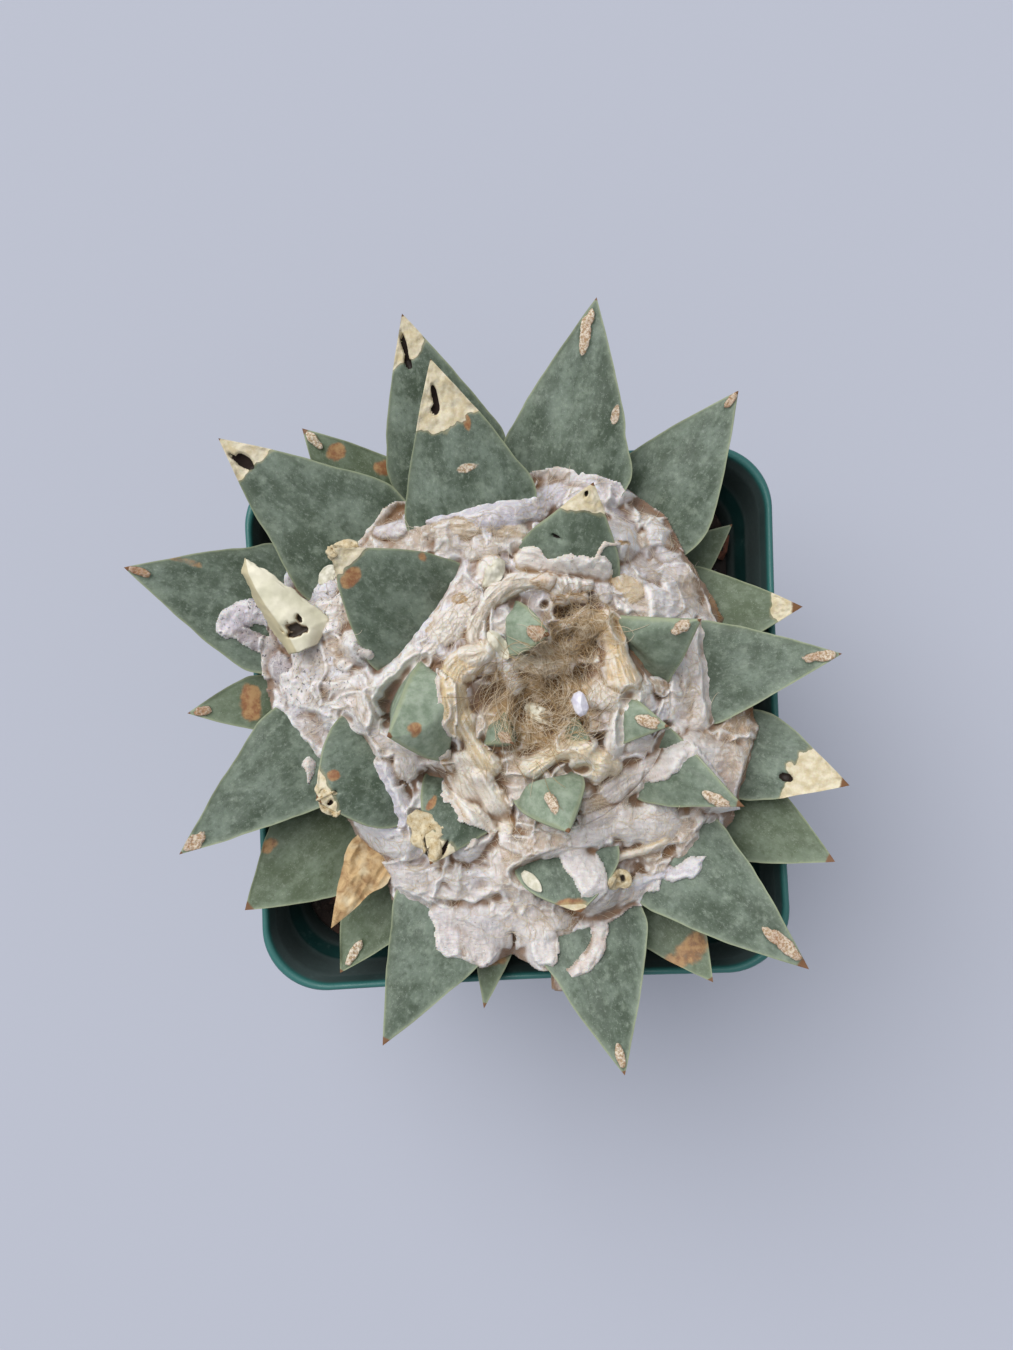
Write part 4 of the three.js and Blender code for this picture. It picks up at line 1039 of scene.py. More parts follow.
clouds = {n: filled_in(grid) for n, grid in SURFACES.items() if n < FIRST_LOWER}
shown = plan_heights([c[c[:, 3] >= NETS[n]["share"][2]] for n, c in clouds.items()])
hidden = plan_heights([c[c[:, 3] < NETS[n]["share"][2] - 0.02] for n, c in clouds.items()])
is_shown = shown > -1e5
indoors = spread(np.where(is_shown, 1e6, 0.0), 1.0, 5)
ceiling = np.where(is_shown, shown - 0.15 - 0.9 * np.minimum(indoors, 5), 1e6)
ceiling = np.minimum(spread(ceiling, 3.0, 4), 135)
lining = np.maximum(-spread(np.where(hidden < -1e5, 1e6, -hidden), 2.2, 4), 90)
ceiling, lining = blurred(ceiling, 3), blurred(lining, 2)


def face_point(net, share, v):
    """A point on a tubercle's upper face."""
    w, c, a = (float(eased(np.array([share]), net["share"], net[k])[0]) for k in ("width", "crown", "arch"))
    return (net["root"] + share * net["length"] * net["along"] + v * w * net["across"]
            + (a + c * (1 - abs(v) ** 2.3)) * net["up"])


controls = []
for number, net in NETS.items():
    if number >= FIRST_LOWER:
        continue
    widest = net["share"][2]
    reach = 0.12 * (1 - widest)
    for v in (-0.9, -0.45, 0, 0.45, 0.9):
        controls.append(face_point(net, widest, v) + [0, 0, 0.9])
    back_off = max(widest - 0.9 * reach * 1.5, 0.05)
    for v in (-0.5, 0.5):
        controls.append(face_point(net, back_off, v) + [0, 0, 2.6])
for angle, radius in zip(np.radians(np.arange(24) * 15), HEM):
    controls.append(np.array([AXIS[0] + radius * math.cos(angle), AXIS[1] + radius * math.sin(angle),
                              HEM_HEIGHT]))
# Heights of the mat between the tubercles.
for place in ((3, 3, 118.2), (9, 12, 120), (-7, 3, 119.6), (8, -2, 119), (-38, 14, 113), (-40, 24, 111.5),
              (-50, 21, 112), (-36, 2, 112), (-20, -26, 112), (-10, -34, 110.5), (2, -38, 109.5),
              (18, -25, 114), (30, -14, 113), (36, 0, 113.5), (32, 28, 111.5), (26, 38, 110), (6, 42, 111),
              (-22, 37, 113.5), (-26, -30, 108.5), (44, -4, 107.5), (40, -16, 107.5), (33, -30, 108.5),
              (16, -18, 117), (-22, -12, 117), (14, 24, 119)):
    controls.append(np.array(place, float))
controls = np.array(controls)


def thin_plate(r):
    return np.where(r > 1e-9, r * r * np.log(np.maximum(r, 1e-9)), 0)


count = len(controls)
between = np.linalg.norm(controls[:, None, :2] - controls[None, :, :2], axis=2) / 10
system = np.zeros((count + 3, count + 3))
system[:count, :count] = thin_plate(between) + 0.15 * np.eye(count)
system[:count, count:] = np.column_stack([np.ones(count), controls[:, :2] / 10])
system[count:, :count] = system[:count, count:].T
weights = np.linalg.solve(system, np.concatenate([controls[:, 2], np.zeros(3)]))
smooth_base = np.zeros(len(plan))
for start in range(0, len(plan), 20000):
    part = plan[start : start + 20000]
    r = np.linalg.norm(part[:, None] - controls[None, :, :2], axis=2) / 10
    smooth_base[start : start + 20000] = (thin_plate(r) @ weights[:count]
                                          + np.column_stack([np.ones(len(part)),
                                                             part / 10]) @ weights[count:])
smooth_base = np.clip(smooth_base, 98, 126).reshape(gx.shape)

# The way the hair lies: outward over the mat, round and round at the growing point, along each fold.
NEST = np.array([4.5, 3.5])
outward = plan - AXIS
swirl = (plan - NEST)[:, ::-1] * [-1, 1]
centred = 1 - step(9, 17, np.linalg.norm(plan - NEST, axis=1))
lay = np.arctan2(outward[:, 1], outward[:, 0]) + 0.9 * waves(plan, 14, 21, 2)
lay = np.column_stack([np.cos(2 * lay), np.sin(2 * lay)]) * (1 - centred[:, None])
round_about = np.arctan2(swirl[:, 1], swirl[:, 0]) + 0.5 * waves(plan, 5, 22, 2)
lay = 0.35 * (lay + np.column_stack([np.cos(2 * round_about), np.sin(2 * round_about)]) * centred[:, None])
for line, half, *_ in FOLDS + OVERLAPS:
    curve = spline(line)
    box = ((plan > curve.min(0) - 2 * half) & (plan < curve.max(0) + 2 * half)).all(axis=1)
    dist, _, heading = near_line(plan[box], curve)
    turn = 2 * np.arctan2(heading[:, 1], heading[:, 0])
    weight = 3 * np.exp(-((dist / half) ** 2) * 1.5)
    lay[box] += np.column_stack([np.cos(turn), np.sin(turn)]) * weight[:, None]
lay_x, lay_y = lay[:, 0].reshape(gx.shape), lay[:, 1].reshape(gx.shape)
fluff_rng = np.random.default_rng(7)
fine_fluff = fluff_rng.standard_normal((side_cells, side_cells))
coarse = fluff_rng.standard_normal((side_cells, side_cells))
for axis in (0, 1):
    coarse = coarse + np.roll(coarse, 1, axis) + np.roll(coarse, -1, axis)


def combed(xy, source, length):
    """Random fluff averaged along the lay of the hair, so that it reads as strands."""
    total = sampled(source, xy)
    for sense in (1, -1):
        place, last = xy.copy(), None
        for stride in range(1, 9):
            turn = 0.5 * np.arctan2(sampled(lay_y, place), sampled(lay_x, place))
            d = np.column_stack([np.cos(turn), np.sin(turn)])
            if last is None:
                d = d * sense
            else:
                d = d * np.where((d * last).sum(1) < 0, -1, 1)[:, None]
            last = d
            place = place + d * (length / 8)
            total = total + sampled(source, place) * (1 - stride / 9)
    return total / total.std()


# Wool lying on a tubercle slopes down from it to the mat.
held = np.zeros(len(plan), bool)
for line, half, *_ in OVERLAPS:
    held |= near_line(plan, spline(line))[0] < 0.8 * half
held = held.reshape(gx.shape) & is_shown
skirt = np.maximum(-spread(np.where(held, -(shown + 0.5), 1e6), 1.8, 7), 90)
skirt = blurred(np.minimum(skirt, smooth_base + 6), 2)


def colour_rows(name):
    return np.array(linear(name)[:3])


def wool_surface(xy, edge):
    """Height, colour, strands and bundles of the mat over each point."""
    base = sampled(smooth_base, xy) + 0.6 * waves(xy, 10, 31, 2) - 2.2 * (1 - step(0, 6, edge)) ** 2
    strands = combed(xy, fine_fluff, 2.2)
    bundles = combed(xy, coarse, 4.0)
    combing, calm = np.full(len(xy), 0.22), np.ones(len(xy))
    warp = np.column_stack([waves(xy, 6, 41, 3), waves(xy, 6, 42, 3)])
    h = base + 0.8 * waves(xy + 2.0 * warp, 7, 43, 2) - 0.9 * np.abs(waves(xy + 1.5 * warp, 5, 44, 2))
    h = h - 0.55 * np.abs(waves(xy + 1.2 * warp, 2.8, 46, 2))
    away = np.linalg.norm(xy - NEST, axis=1)
    nest = 1 - step(7, 15, away)
    shade = waves(xy, 13, 45, 3)
    tint = np.repeat(colour_rows("#ece5e2")[None], len(xy), 0)
    tint = tint + (colour_rows("#e6e2e8") - tint) * step(-0.1, 0.6, shade)[:, None]
    tint = tint + (colour_rows("#b49a7e") - tint) * (0.75 * step(0.0, 0.6, -shade))[:, None]
    stain = waves(xy + 2.0 * warp, 8, 47, 4, 0.6)
    tint = tint + (colour_rows("#b8966c") - tint) * (0.5 * step(0.22, 0.65, stain))[:, None]
    tint = tint + (colour_rows("#c8a56c") - tint) * nest[:, None]
    sunny = step(28, 38, xy[:, 0]) * step(0.1, -0.4, waves(xy, 9, 48, 2))
    tint = tint + (colour_rows("#c09a6a") - tint) * (0.6 * sunny)[:, None]
    # Sheets of felt that have torn, each with an edge that stands proud of what it lies on.
    # Just below each edge the mat is painted darker as its shadow, and the edge itself paler as its
    # highlight.
    for index, (size, level, thick) in enumerate(((17, 0.05, 1.1), (11, -0.1, 0.8), (7, 0.15, 0.5))):
        sheet = waves(xy + 1.2 * warp, size, 70 + index, 3, 0.5)
        rise = step(level - 0.04, level + 0.04, sheet)
        lip = np.exp(-(((sheet - level - 0.07) / 0.06) ** 2))
        h = h + thick * (1 - 0.7 * nest) * (rise + 0.45 * lip)
        # Painted shadow below the edge and painted highlight along it.
        shadow_below_edge = np.exp(-(((sheet - level + 0.09) / 0.09) ** 2)) * (1 - nest)
        tint = tint + (colour_rows("#8d7253") - tint) * (0.36 * shadow_below_edge)[:, None]
        tint = tint + (colour_rows("#efe9e6") - tint) * (0.35 * lip * (1 - nest))[:, None]
    for x, y, radius, depth in HOLLOWS:
        d = np.hypot(xy[:, 0] - x + 0.8 * warp[:, 0], xy[:, 1] - y + 0.8 * warp[:, 1]) / radius
        pit = 1 - step(0.2, 1.25, d)
        h = h - depth * pit
        # Painted shade: each hollow is painted dark brown.
        tint = tint + (colour_rows("#5e452c") - tint) * (0.7 * pit)[:, None]
    limit = sampled(ceiling, xy) + 0.35 * waves(xy, 2.2, 85, 3)
    solid = sampled(np.where(is_shown, shown, 90), xy)
    h = np.minimum(np.maximum(h, sampled(lining, xy) + 0.5), limit)

    def lay_fold(fold, index, over):
        nonlocal h, tint, combing, calm
        line, half, rise, crest_highlight, flank, *comb = fold
        curve = spline(line)
        box = ((xy > curve.min(0) - 1.5 * half) & (xy < curve.max(0) + 1.5 * half)).all(axis=1)
        if not box.any():
            return
        dist, along, _ = near_line(xy[box] + 0.35 * warp[box], curve)
        swell = 1 + 0.36 * waves(np.column_stack([along, np.full(len(along), 9.0 * index)]), 4.5, 60, 2)
        t = dist / (half * swell) * (1 + 0.05 * bundles[box]) + 0.24 * waves(xy[box], 3.6, 61, 3)
        body = np.clip(1 - t**2, 0, 1) ** 0.65
        lifted = base[box] + rise * (1.25 * body - 0.3) * swell
        if over:
            draped = solid[box] + 0.1 + body * (0.9 + 0.8 * waves(xy[box], 2.6, 62, 3, 0.6))
            lifted = np.clip(draped, lifted, base[box] + 7)
        else:
            lifted = np.minimum(lifted, limit[box] + 1.3)
        on = (t < 1) & (lifted > h[box])
        # Painted highlight and shade: the crest colour on top of the fold, the flank colour down its sides.
        lit = step(0.3, 0.8, body + 0.06 * bundles[box])[:, None]
        paint = colour_rows(flank) * (1 - lit) + colour_rows(crest_highlight) * lit
        soft = (step(0.0, 0.4, body) * on)[:, None]
        h[box] = np.where(on, lifted, h[box])
        tint[box] = tint[box] * (1 - soft) + paint * soft
        combing[box] = combing[box] * (1 - soft[:, 0]) + (comb[0] if comb else 0.3) * soft[:, 0]
        calm[box] = calm[box] * (1 - soft[:, 0]) + (0.25 if comb else 0.6) * soft[:, 0]

    for index, fold in enumerate(FOLDS):
        lay_fold(fold, index, False)
    for index, fold in enumerate(OVERLAPS):
        lay_fold(fold, 90 + index, True)
    h = np.maximum(h, np.minimum(sampled(skirt, xy), limit))
    strands, bundles = strands * combing, bundles * combing
    creased = 1 - np.abs(waves(xy + 0.8 * warp, 3.0, 83, 3))
    crumpled = 1 - np.abs(waves(xy + 0.5 * warp, 1.5, 84, 3, 0.6))
    h = h + 0.13 * bundles + 0.07 * strands + 0.2 * calm * waves(xy, 1.7, 82, 3, 0.6)
    h = h + calm * (0.55 * (creased - 0.7) + 0.16 * (crumpled - 0.7))
    return h, tint, strands, bundles


hem_angle = np.degrees(np.arctan2(plan[:, 1] - AXIS[1], plan[:, 0] - AXIS[0])) % 360
hem_radius = np.interp(hem_angle, np.arange(25) * 15, HEM + HEM[:1])
within = hem_radius + 1.6 * waves(plan, 7, 91, 3, 0.5) - np.linalg.norm(plan - AXIS, axis=1)
for line, half, *_ in OVERLAPS[:HANGING]:
    within = np.maximum(within,
                        0.95 * half - near_line(plan, spline(line))[0] + 0.4 * waves(plan, 2, 93, 2))
within = within.reshape(gx.shape)


def box_mean(values, mask, radius):
    """Average over a window, ignoring what lies outside the mat."""
    def box(a):
        for axis in (0, 1):
            c = np.cumsum(np.concatenate([np.zeros_like(np.take(a, [0], axis)), a], axis), axis)
            n = a.shape[axis]
            hi = np.minimum(np.arange(n) + radius + 1, n)
            lo = np.maximum(np.arange(n) - radius, 0)
            a = np.take(c, hi, axis) - np.take(c, lo, axis)
        return a
    return box(box(values * mask)) / np.maximum(box(box(mask.astype(float))), 1e-6)


def felt(name, cell, low, high, sink):
    """One sheet of the mat on its own grid, where low and high bound the distance from the nest."""
    steps = int(2 * SPAN / cell) + 1
    line = np.arange(steps) * cell - SPAN
    x, y = np.meshgrid(line, line)
    flat = np.column_stack([x.ravel(), y.ravel()])
    away = np.linalg.norm(flat - NEST, axis=1)
    edge = sampled(within, flat)
    inside = (edge > 0) & (away > low) & (away < high)
    keep = np.nonzero(inside)[0]
    number = np.full(len(flat), -1)
    number[keep] = np.arange(len(keep))
    xy = flat[keep]
    h, tint, strands, bundles = wool_surface(xy, edge[keep])
    grid = np.zeros(x.size)
    grid[keep] = h
    grid, known = grid.reshape(x.shape), inside.reshape(x.shape)
    wide = box_mean(grid, known, max(1, round(2.2 / cell))).ravel()[keep]
    close = box_mean(grid, known, max(1, round(0.5 / cell))).ravel()[keep]
    # The mat's hollows and crests, from its height against that round it, which the shader paints with
    # shade and highlight.
    shaded_hollow = np.clip((wide - h) / 1.3, 0, 1)
    crest_highlight = np.clip((h - close) / 0.3, 0, 1)
    if sink == "inner":
        h = h - 1.2 * (1 - step(0, 1.0, away[keep] - low))
    else:
        h = h - 1.2 * step(high - 1.0, high, away[keep])
    i, j = np.meshgrid(np.arange(steps - 1), np.arange(steps - 1), indexing="ij")
    a = (i * steps + j).ravel()
    quads = np.column_stack([a, a + 1, a + steps + 1, a + steps])
    quads = number[quads[inside[quads].all(axis=1)]]
    points = np.column_stack([xy, h])
    extra = np.zeros(0, int)
    if sink == "inner":
        # The hem is a torn edge that turns under.
        sides = np.concatenate([quads[:, [0, 1]], quads[:, [1, 2]], quads[:, [2, 3]], quads[:, [3, 0]]])
        codes = sides[:, 0].astype(np.int64) * len(xy) + sides[:, 1]
        rim = sides[~np.isin(codes, sides[:, 1].astype(np.int64) * len(xy) + sides[:, 0])]
        rim = rim[away[keep][rim].min(axis=1) > low + 1.5]
        extra = np.unique(rim)
        inward = NEST - xy[extra]
        inward /= np.linalg.norm(inward, axis=1)[:, None]
        below = np.full(len(xy), -1)
        below[extra] = len(xy) + np.arange(len(extra))
        points = np.vstack([points, np.column_stack([xy[extra] + 0.3 * inward, h[extra] - 1.2]),
                            np.column_stack([xy[extra] + 5 * inward, h[extra] - 3.2])])
        lower = below[rim]
        quads = np.vstack([quads, np.column_stack([rim[:, 1], rim[:, 0], lower[:, 0], lower[:, 1]]),
                           np.column_stack([lower[:, 1], lower[:, 0], lower[:, 0] + len(extra),
                                            lower[:, 1] + len(extra)])])
    again = lambda a: np.concatenate([a, a[extra], a[extra]])
    speck = step(-24, -32, xy[:, 0]) * step(-6, 6, xy[:, 1])
    piece = make_piece(name, points, quads, felted,
                       marks={"shaded_hollow": again(shaded_hollow), "crest_highlight": again(crest_highlight), "speck": again(speck),
                              "strands": again(strands), "bundles": again(bundles)})
    colours = piece.data.color_attributes.new("tint", "FLOAT_COLOR", "POINT")
    rgba = np.column_stack([again(tint), np.ones(len(points))]).astype(np.float32)
    colours.data.foreach_set("color", rgba.ravel())
    return piece


felted, tree, shader, at = begin("matted_areole_wool")
# Rain-felted plant hair: chalky off-white with a lavender cast, ochre and brown in its folds, golden
# round the growing point, dusted with black grit on one side. Its hollows are deepened with painted
# brown shade and its crests lifted with painted highlight. Every strand scatters light: no gloss.
tinted = add(tree, "Attribute", attribute_name="tint", output="Color")
shaded_hollow, peak, spotty, strand, bundle = (
    add(tree, "Attribute", attribute_name=name, output="Fac")
    for name in ("shaded_hollow", "crest_highlight", "speck", "strands", "bundles"))
tufts = add(tree, "TexNoise", at, 1 / 0.8, 5.0, 0.65, 2.0, 0.4)
patches = add(tree, "TexNoise", at, 1 / 4, 4.0, 0.6)
lying = add(tree, "TexNoise", add(tree, "VectorMath", at, (1.0, 0.22, 1.0), operation="MULTIPLY"), 1 / 0.5,
            4.0, 0.7, 2.0, 1.4)
crossing = add(tree, "TexNoise", add(tree, "VectorMath", at, (0.22, 1.0, 1.0), operation="MULTIPLY"),
               1 / 0.5, 4.0, 0.7, 2.0, 1.4)
which = add(tree, "MapRange", add(tree, "TexNoise", at, 1 / 3, 2.0, 0.55), 0.42, 0.58,
            interpolation_type="SMOOTHSTEP")
fibre = add(tree, "Math", crossing, add(tree, "Math", 1.0, which, operation="SUBTRACT"),
            add(tree, "Math", lying, which, operation="MULTIPLY"), operation="MULTIPLY_ADD")
wool = laid_over(tree, tinted,
                 (tufts, 0.3, 0.75, 0.22, "#f6f1ea"),
                 (patches, 0.5, 0.72, 0.2, "#c4a989"),
                 (bundle, 0.1, 2.0, 0.3, "#f6efe2"),
                 (bundle, -0.1, -2.0, 0.4, "#a08257"),
                 (strand, 0.1, 2.0, 0.35, "#fbf5ea"),
                 (strand, -0.1, -2.0, 0.3, "#8f744f"),
                 (fibre, 0.52, 0.66, 0.55, "#fcf8f3"),
                 (fibre, 0.46, 0.32, 0.3, "#94795c"))
# Painted shade: how dark each hollow of the mat is painted.
hollow_shade = add(tree, "Math", shaded_hollow,
           add(tree, "MapRange", patches, 0.25, 0.6, 0.6, 1.0, interpolation_type="SMOOTHSTEP"),
           operation="MULTIPLY")
# Painted shade in the hollows and painted highlight on the crests of the mat.
wool = laid_over(tree, wool,
                 (hollow_shade, 0.1, 0.8, 0.85, "#80592f"),
                 (peak, 0.12, 0.8, 0.5, "#fdfaf6"))
grit_spots = add(tree, "MapRange", add(tree, "TexNoise", at, 1 / 0.9, 3.0, 0.75), 0.58, 0.66,
                 interpolation_type="SMOOTHSTEP")
wool = add(tree, "Mix",
           add(tree, "Math", grit_spots, add(tree, "Math", spotty, 0.8, operation="MULTIPLY"),
               operation="MULTIPLY"), wool, "#4a444a", data_type="RGBA")
crumbs = add(tree, "MapRange", add(tree, "TexNoise", at, 1 / 0.45, 2.0, 0.55), 0.68, 0.74, 0.0, 0.6,
             interpolation_type="SMOOTHSTEP")
wool = add(tree, "Mix", crumbs, wool, "#4c3a2a", data_type="RGBA")
tree.links.new(wool, shader.inputs["Base Color"])
shader.inputs["Roughness"].default_value = 0.95
shader.inputs["Specular IOR Level"].default_value = 0.15
shader.inputs["Sheen Weight"].default_value = 0.25
shader.inputs["Sheen Roughness"].default_value = 0.6
shader.inputs["Subsurface Weight"].default_value = 0.3
shader.inputs["Subsurface Radius"].default_value = (0.0018, 0.0011, 0.0006)
nap = add(tree, "Math", tufts, 0.6, add(tree, "Math", strand, 0.12, operation="MULTIPLY"),
          operation="MULTIPLY_ADD")
nap = add(tree, "Math", fibre, 0.9, nap, operation="MULTIPLY_ADD")
tree.links.new(add(tree, "Bump", 0.9, 0.4 * MM, None, nap), shader.inputs["Normal"])

NEST_REACH = 23.0
mat = felt("felted_mat", 0.25, NEST_REACH, 99, "inner")
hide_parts("matted_wool")
nest = felt("felted_nest", 0.15, -1, NEST_REACH + 1.3, "outer")

# ---------------------------------------------------------------------------------------------------
# Loose hair: golden strands that swirl over the growing point and its youngest tubercles, and pale
# ones that have worked free all over the mat. Each is a thin three-sided tube.
# ---------------------------------------------------------------------------------------------------
golden_hair, tree, shader, at = begin("golden_areole_hair")
# Fresh areole hair: fine, silky, straw to honey brown, light coming through it.
tone = add(tree, "Attribute", attribute_name="tone", output="Fac")
straw = add(tree, "Mix", add(tree, "MapRange", tone, 0.0, 0.5), "#8a6636", "#c8a66f", data_type="RGBA")
straw = add(tree, "Mix", add(tree, "MapRange", tone, 0.5, 1.0), straw, "#f1e6cf", data_type="RGBA")
tree.links.new(straw, shader.inputs["Base Color"])
shader.inputs["Roughness"].default_value = 0.55
shader.inputs["Sheen Weight"].default_value = 0.2

nearby = within.ravel() > 0
field = np.full(len(plan), 100.0)
field[nearby] = wool_surface(plan[nearby], within.ravel()[nearby])[0]
top_map = np.maximum(field.reshape(gx.shape), np.where(is_shown, shown, 0))


def hairs(name, paths, thickness, tones, material):
    """One piece from many centre lines of equal length."""
    paths = np.asarray(paths)
    lines, steps_along = paths.shape[:2]
    run = np.gradient(paths, axis=1)
    run /= np.maximum(np.linalg.norm(run, axis=2, keepdims=True), 1e-9)
    side = np.cross(run, [0, 0, 1.0])
    side /= np.maximum(np.linalg.norm(side, axis=2, keepdims=True), 1e-6)
    up = np.cross(side, run)
    taper = np.sqrt(np.clip(1 - np.linspace(-1, 1, steps_along) ** 4, 0.05, 1))[None, :, None]
    corners = [math.radians(a) for a in (90, 210, 330)]
    ring = np.stack([paths + thickness * taper * (math.cos(c) * side + math.sin(c) * up) for c in corners],
                    2)
    points = ring.reshape(-1, 3)
    k, s, c = np.meshgrid(np.arange(lines), np.arange(steps_along - 1), np.arange(3), indexing="ij")
    a = ((k * steps_along + s) * 3 + c).ravel()
    b = ((k * steps_along + s) * 3 + (c + 1) % 3).ravel()
    quads = np.column_stack([a, b, b + 3, a + 3])
    return make_piece(name, points, quads, material,
                      marks={"tone": np.repeat(np.asarray(tones), steps_along * 3)})


def wander(start, heading, length, bend, steps_along, lift, wobble=0.25):
    """A strand that curls over the wool from start."""
    t = np.linspace(0, 1, steps_along)
    turn = heading + bend * t + wobble * np.sin(6 * t + start[0])
    path = np.cumsum(np.column_stack([np.cos(turn), np.sin(turn)]), axis=0) * length / steps_along + start
    z = sampled(top_map, path)
    z = np.convolve(np.pad(z, 2, mode="edge"), np.ones(5) / 5, mode="valid")
    return np.column_stack([path, z + lift * np.sin(math.pi * t) + 0.05])


paths, tones = [], []
for _ in range(560):
    angle, away = rng.uniform(0, 6.283), rng.uniform(1.2, 10.5)
    start = NEST + away * np.array([math.cos(angle), math.sin(angle)])
    paths.append(wander(start, angle + math.pi / 2 + rng.normal(0, 0.5), rng.uniform(4, 11),
                        rng.uniform(-1.0, 3.0), 14, rng.uniform(0.1, 1.5)))
    tones.append(rng.uniform(0.1, 0.7) if rng.random() < 0.55 else rng.uniform(0.7, 1.0))
for _ in range(260):
    start = np.array([11.5, 16.5]) + rng.normal(0, 2.2, 2)
    paths.append(wander(start, rng.uniform(0, 6.283), rng.uniform(4, 9),
                        rng.choice([-1, 1]) * rng.uniform(1.5, 4.5),
                        14, rng.uniform(0.2, 1.4)))
    tones.append(rng.uniform(0.3, 0.95))
tangle = hairs("golden_tangle", paths, 0.05, tones, golden_hair)

paths, tones = [], []
while len(paths) < 1500:
    angle, away = rng.uniform(0, 6.283), 46 * math.sqrt(rng.uniform(0.02, 1))
    start = AXIS + away * np.array([math.cos(angle), math.sin(angle)])
    if sampled(within, start[None])[0] < 2:
        continue
    here = start[None]
    heading = 0.5 * math.atan2(sampled(lay_y, here)[0], sampled(lay_x, here)[0]) + rng.normal(0, 0.5)
    if sampled(np.where(is_shown, 1.0, 0.0), here)[0] > 0.2:
        continue
    path = wander(start, heading, rng.uniform(2, 6), rng.normal(0, 1.2), 12, rng.uniform(0.02, 0.4))
    if sampled(np.where(is_shown, 1.0, 0.0), path[:, :2]).max() > 0.3 and rng.random() > 0.04:
        continue
    paths.append(path)
    tones.append(rng.uniform(0.7, 1.0))
strays = hairs("stray_hairs", paths, 0.04, tones, golden_hair)

# ---------------------------------------------------------------------------------------------------
# Papery scales caught in the wool, and crusts of cork over old wounds. Each is a thin plate that
# follows whatever it lies on.
# ---------------------------------------------------------------------------------------------------
papery, tree, shader, at = begin("papery_plant_scale")
# Dried scale: thin and parchment-like, cream with a green cast, a dull satin surface.
veins = add(tree, "TexNoise", at, 1 / 1.2, 4.0, 0.6)
tree.links.new(laid_over(tree, "#c9c4ab", (veins, 0.3, 0.7, 1.0, "#e6e1d0")), shader.inputs["Base Color"])
shader.inputs["Roughness"].default_value = 0.5
tree.links.new(add(tree, "Bump", 0.6, 0.15 * MM, None, veins), shader.inputs["Normal"])

crusty, tree, shader, at = begin("cork_crust")
# Wound cork: pale, crumbly, yellow-cream, with dark pits and brown edges.
crumb = add(tree, "TexNoise", at, 1 / 1.1, 5.0, 0.7)
cork_tone = laid_over(tree, "#bda477",
                      (crumb, 0.3, 0.7, 1.0, "#e6dabb"),
                      (crumb, 0.36, 0.3, 1.0, "#3a291b"))
# Painted shade: the crack is painted near-black.
cork_tone = add(tree, "Mix", add(tree, "Attribute", attribute_name="crack", output="Fac"), cork_tone,
                "#231710", data_type="RGBA")
tree.links.new(cork_tone, shader.inputs["Base Color"])
shader.inputs["Roughness"].default_value = 0.9
tree.links.new(add(tree, "Bump", 0.9, 0.4 * MM, None, crumb), shader.inputs["Normal"])


def plate(name, line, half, bulge, thick, rough, finish, crack=None, lift=0.25):
    """A thin plate along a line, over the highest thing under it."""
    curve = spline(line, 16)
    run = np.concatenate([[0], np.cumsum(np.linalg.norm(np.diff(curve, axis=0), axis=1))])
    heading = np.gradient(curve, axis=0)
    heading /= np.linalg.norm(heading, axis=1)[:, None]
    side = np.column_stack([-heading[:, 1], heading[:, 0]])
    v = np.linspace(-1, 1, 25)
    width = half * np.sin(math.pi * np.clip(0.06 + 0.9 * run / run[-1], 0, 1)) ** 0.6
    width = width[:, None] * (1 + 0.3 * rough * waves(
        np.column_stack([np.repeat(run, 25), np.tile(np.sign(v) * 20, len(run))]), 2.5, len(name),
        3).reshape(-1, 25))
    flat = curve[:, None] + side[:, None] * (width * v)[..., None]
    xy = flat.reshape(-1, 2)
    z = sampled(top_map, xy).reshape(len(run), 25)
    z = np.maximum(0.5 * z + 0.5 * z.mean(axis=1, keepdims=True), z.max() - 3.0)
    z = z + lift + bulge * (1 - v**2) + 0.35 * rough * waves(xy, 1.3, 5 + len(name), 3).reshape(z.shape)
    crack_shade = np.zeros(z.shape)
    # The crack is sunk into the plate and painted dark as its shade.
    if crack:
        near = near_line(xy, spline(crack))[0].reshape(z.shape) + 0.35 * waves(xy, 0.9, 6,
                                                                               2).reshape(z.shape)
        crack_shade = 1 - step(0.15, 0.55, near)
        z = z - 0.8 * crack_shade
    upper = np.dstack([flat, z])
    lower = np.dstack([flat, z - thick])[:, ::-1]
    points, faces = skin_rings(list(np.concatenate([upper, lower], axis=1)[:, ::-1]))
    darkness = np.concatenate([np.concatenate([crack_shade, crack_shade[:, ::-1]], 1)[:, ::-1].ravel(), [0, 0]])
    piece = make_piece(name, points, faces, finish, marks={"crack": darkness})


plate("scale_by_nest", [(-4.6, 16.8), (-3.1, 14.4), (-1.4, 11.6)], 1.3, 0.5, 0.15, 0.5, papery)
plate("scale_on_fold", [(-1.6, 29.6), (-3.3, 27.2), (-5.2, 24.8)], 1.4, 0.3, 0.15, 1.3, papery)
plate("scale_in_nest", [(1.6, 3.2), (3.4, 1.6), (5.2, -0.6)], 1.3, 0.4, 0.15, 1.4, papery, lift=0.3)
plate("scale_at_front", [(-0.4, -27.8), (1.4, -29.6), (2.8, -31)], 1.1, 0.3, 0.15, 0.7, papery)
plate("scale_at_left", [(-32.4, 30.2), (-34.4, 29.2), (-36.2, 27.4)], 1.3, 0.3, 0.15, 0.8, papery)
plate("crust_18", [(-20.2, -15.6), (-18.2, -18.6), (-17, -21.4), (-16, -24)], 2.9, 0.7, 0.8, 1.0, crusty,
      crack=[(-16.4, -19.2), (-17.6, -20.6), (-17.3, -22), (-18, -23.4)])
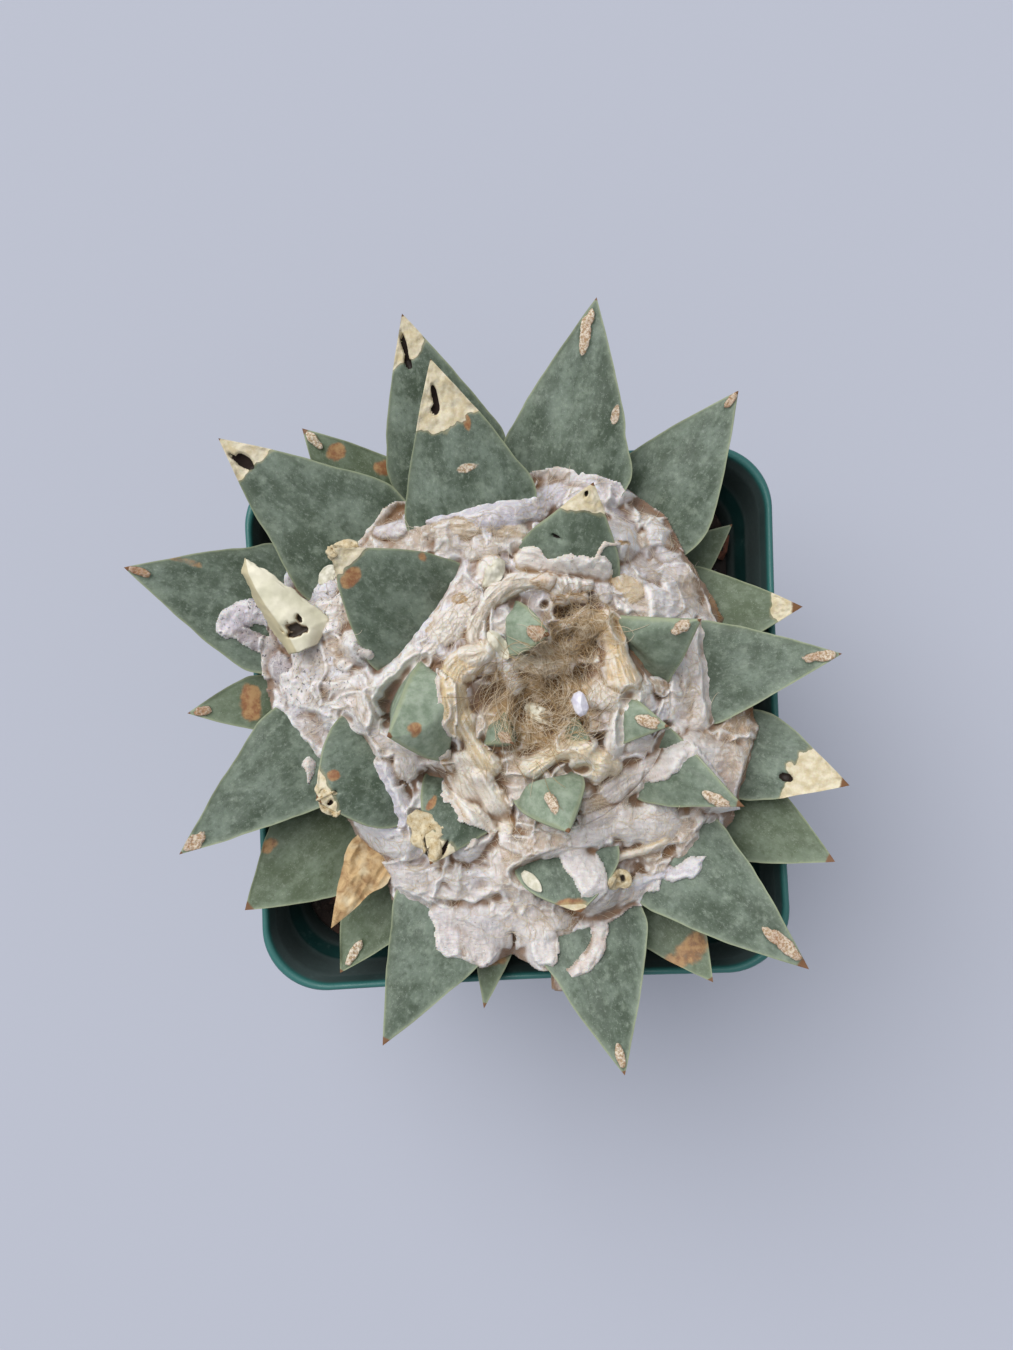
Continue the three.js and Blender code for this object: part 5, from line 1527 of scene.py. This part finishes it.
plate("crust_19", [(-36.6, -9.2), (-35.6, -12.2), (-33.4, -15.4)], 2.1, 0.5, 0.8, 1.0, crusty,
      crack=[(-36.4, -13), (-36, -13.2)])
plate("crust_17", [(15.2, -30.6), (17.4, -30), (19.6, -30.8)], 1.9, 0.5, 0.8, 0.9, crusty,
      crack=[(18, -29.6), (18.1, -29.9)])
plate("crust_13", [(-31.8, 30.4), (-30.4, 31.6), (-28.4, 32.2), (-26.6, 32.6)], 1.4, 0.4, 0.6, 1.0, crusty)

# ---------------------------------------------------------------------------------------------------
# A quartz pebble caught in the wool beside the growing point.
# ---------------------------------------------------------------------------------------------------
milky, tree, shader, at = begin("milky_quartz")
# Vein quartz: cloudy white with a violet cast, broken faces with a soft glassy shine.
cloudy = add(tree, "TexNoise", at, 1 / 1.6, 3.0, 0.55)
tree.links.new(laid_over(tree, "#d9d4e0", (cloudy, 0.35, 0.65, 1.0, "#f2eff4")),
               shader.inputs["Base Color"])
shader.inputs["Roughness"].default_value = 0.32
shader.inputs["Subsurface Weight"].default_value = 0.3
shader.inputs["Subsurface Radius"].default_value = (0.002, 0.002, 0.002)
tree.links.new(add(tree, "Bump", 0.5, 0.1 * MM, None, add(tree, "TexNoise", at, 1 / 0.6, 2.0, 0.55)),
               shader.inputs["Normal"])

low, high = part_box("quartz_pebble")
middle, reach = np.array((low + high) / 2) / MM, np.array((high - low) / 2) / MM
stone = bmesh.new()
bmesh.ops.create_icosphere(stone, subdivisions=2, radius=1.0)
points = np.array([v.co for v in stone.verts])
faces = np.array([[v.index for v in f.verts] for f in stone.faces])
stone.free()
# Broken faces: the ball is cut flat along a few planes.
for normal in rng.standard_normal((11, 3)):
    normal /= np.linalg.norm(normal)
    over = np.maximum(points @ normal - rng.uniform(0.72, 0.86), 0)
    points = points - over[:, None] * normal
pebble = make_piece("quartz_chip", points * reach * 1.12 + middle, faces, milky, smooth=False)
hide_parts("quartz_pebble")

# ---------------------------------------------------------------------------------------------------
# The place: a pale, even floor under an overcast sky, seen from straight above.
# ---------------------------------------------------------------------------------------------------
ground, tree, shader, at = begin("pale_floor")
shader.inputs["Base Color"].default_value = linear("#b9bcc8")
shader.inputs["Roughness"].default_value = 0.85
floor_mesh = bpy.data.meshes.new("floor")
FLOOR_HALF_M = 3
floor_mesh.from_pydata([(x * FLOOR_HALF_M, y * FLOOR_HALF_M, 0) for x,
                        y in ((-1, -1), (1, -1), (1, 1), (-1, 1))],
                       [], [(0, 1, 2, 3)])
floor = bpy.data.objects.new("floor", floor_mesh)
floor.data.materials.append(ground)
bpy.context.scene.collection.objects.link(floor)
floor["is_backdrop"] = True

world = bpy.data.worlds.new("overcast")
bpy.context.scene.world = world
world.use_nodes = True
world.node_tree.nodes["Background"].inputs["Color"].default_value = linear("#dfe4ee")
world.node_tree.nodes["Background"].inputs["Strength"].default_value = 0.44

sky = bpy.data.lights.new("bright_sky", "SUN")
# A very wide sun is the brighter part of an overcast sky, and leaves only soft shadows.
sky.energy, sky.angle = 2.75, math.radians(55)
lamp = bpy.data.objects.new("bright_sky", sky)
lamp.rotation_euler = Vector((-0.4, 0.45, 0.85)).to_track_quat("Z", "Y").to_euler()
bpy.context.scene.collection.objects.link(lamp)

camera = bpy.data.cameras.new("camera")
camera.lens = 27.07
camera.sensor_width = 36
camera.clip_start = 0.01
tripod = bpy.data.objects.new("camera", camera)
tripod.location = Vector((-1.8, 8.8, 305)) * MM
tripod.rotation_euler = (0, 0, math.radians(-2.5))
bpy.context.scene.collection.objects.link(tripod)
bpy.context.scene.camera = tripod
bpy.context.scene.view_settings.view_transform = "Standard"

low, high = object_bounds()
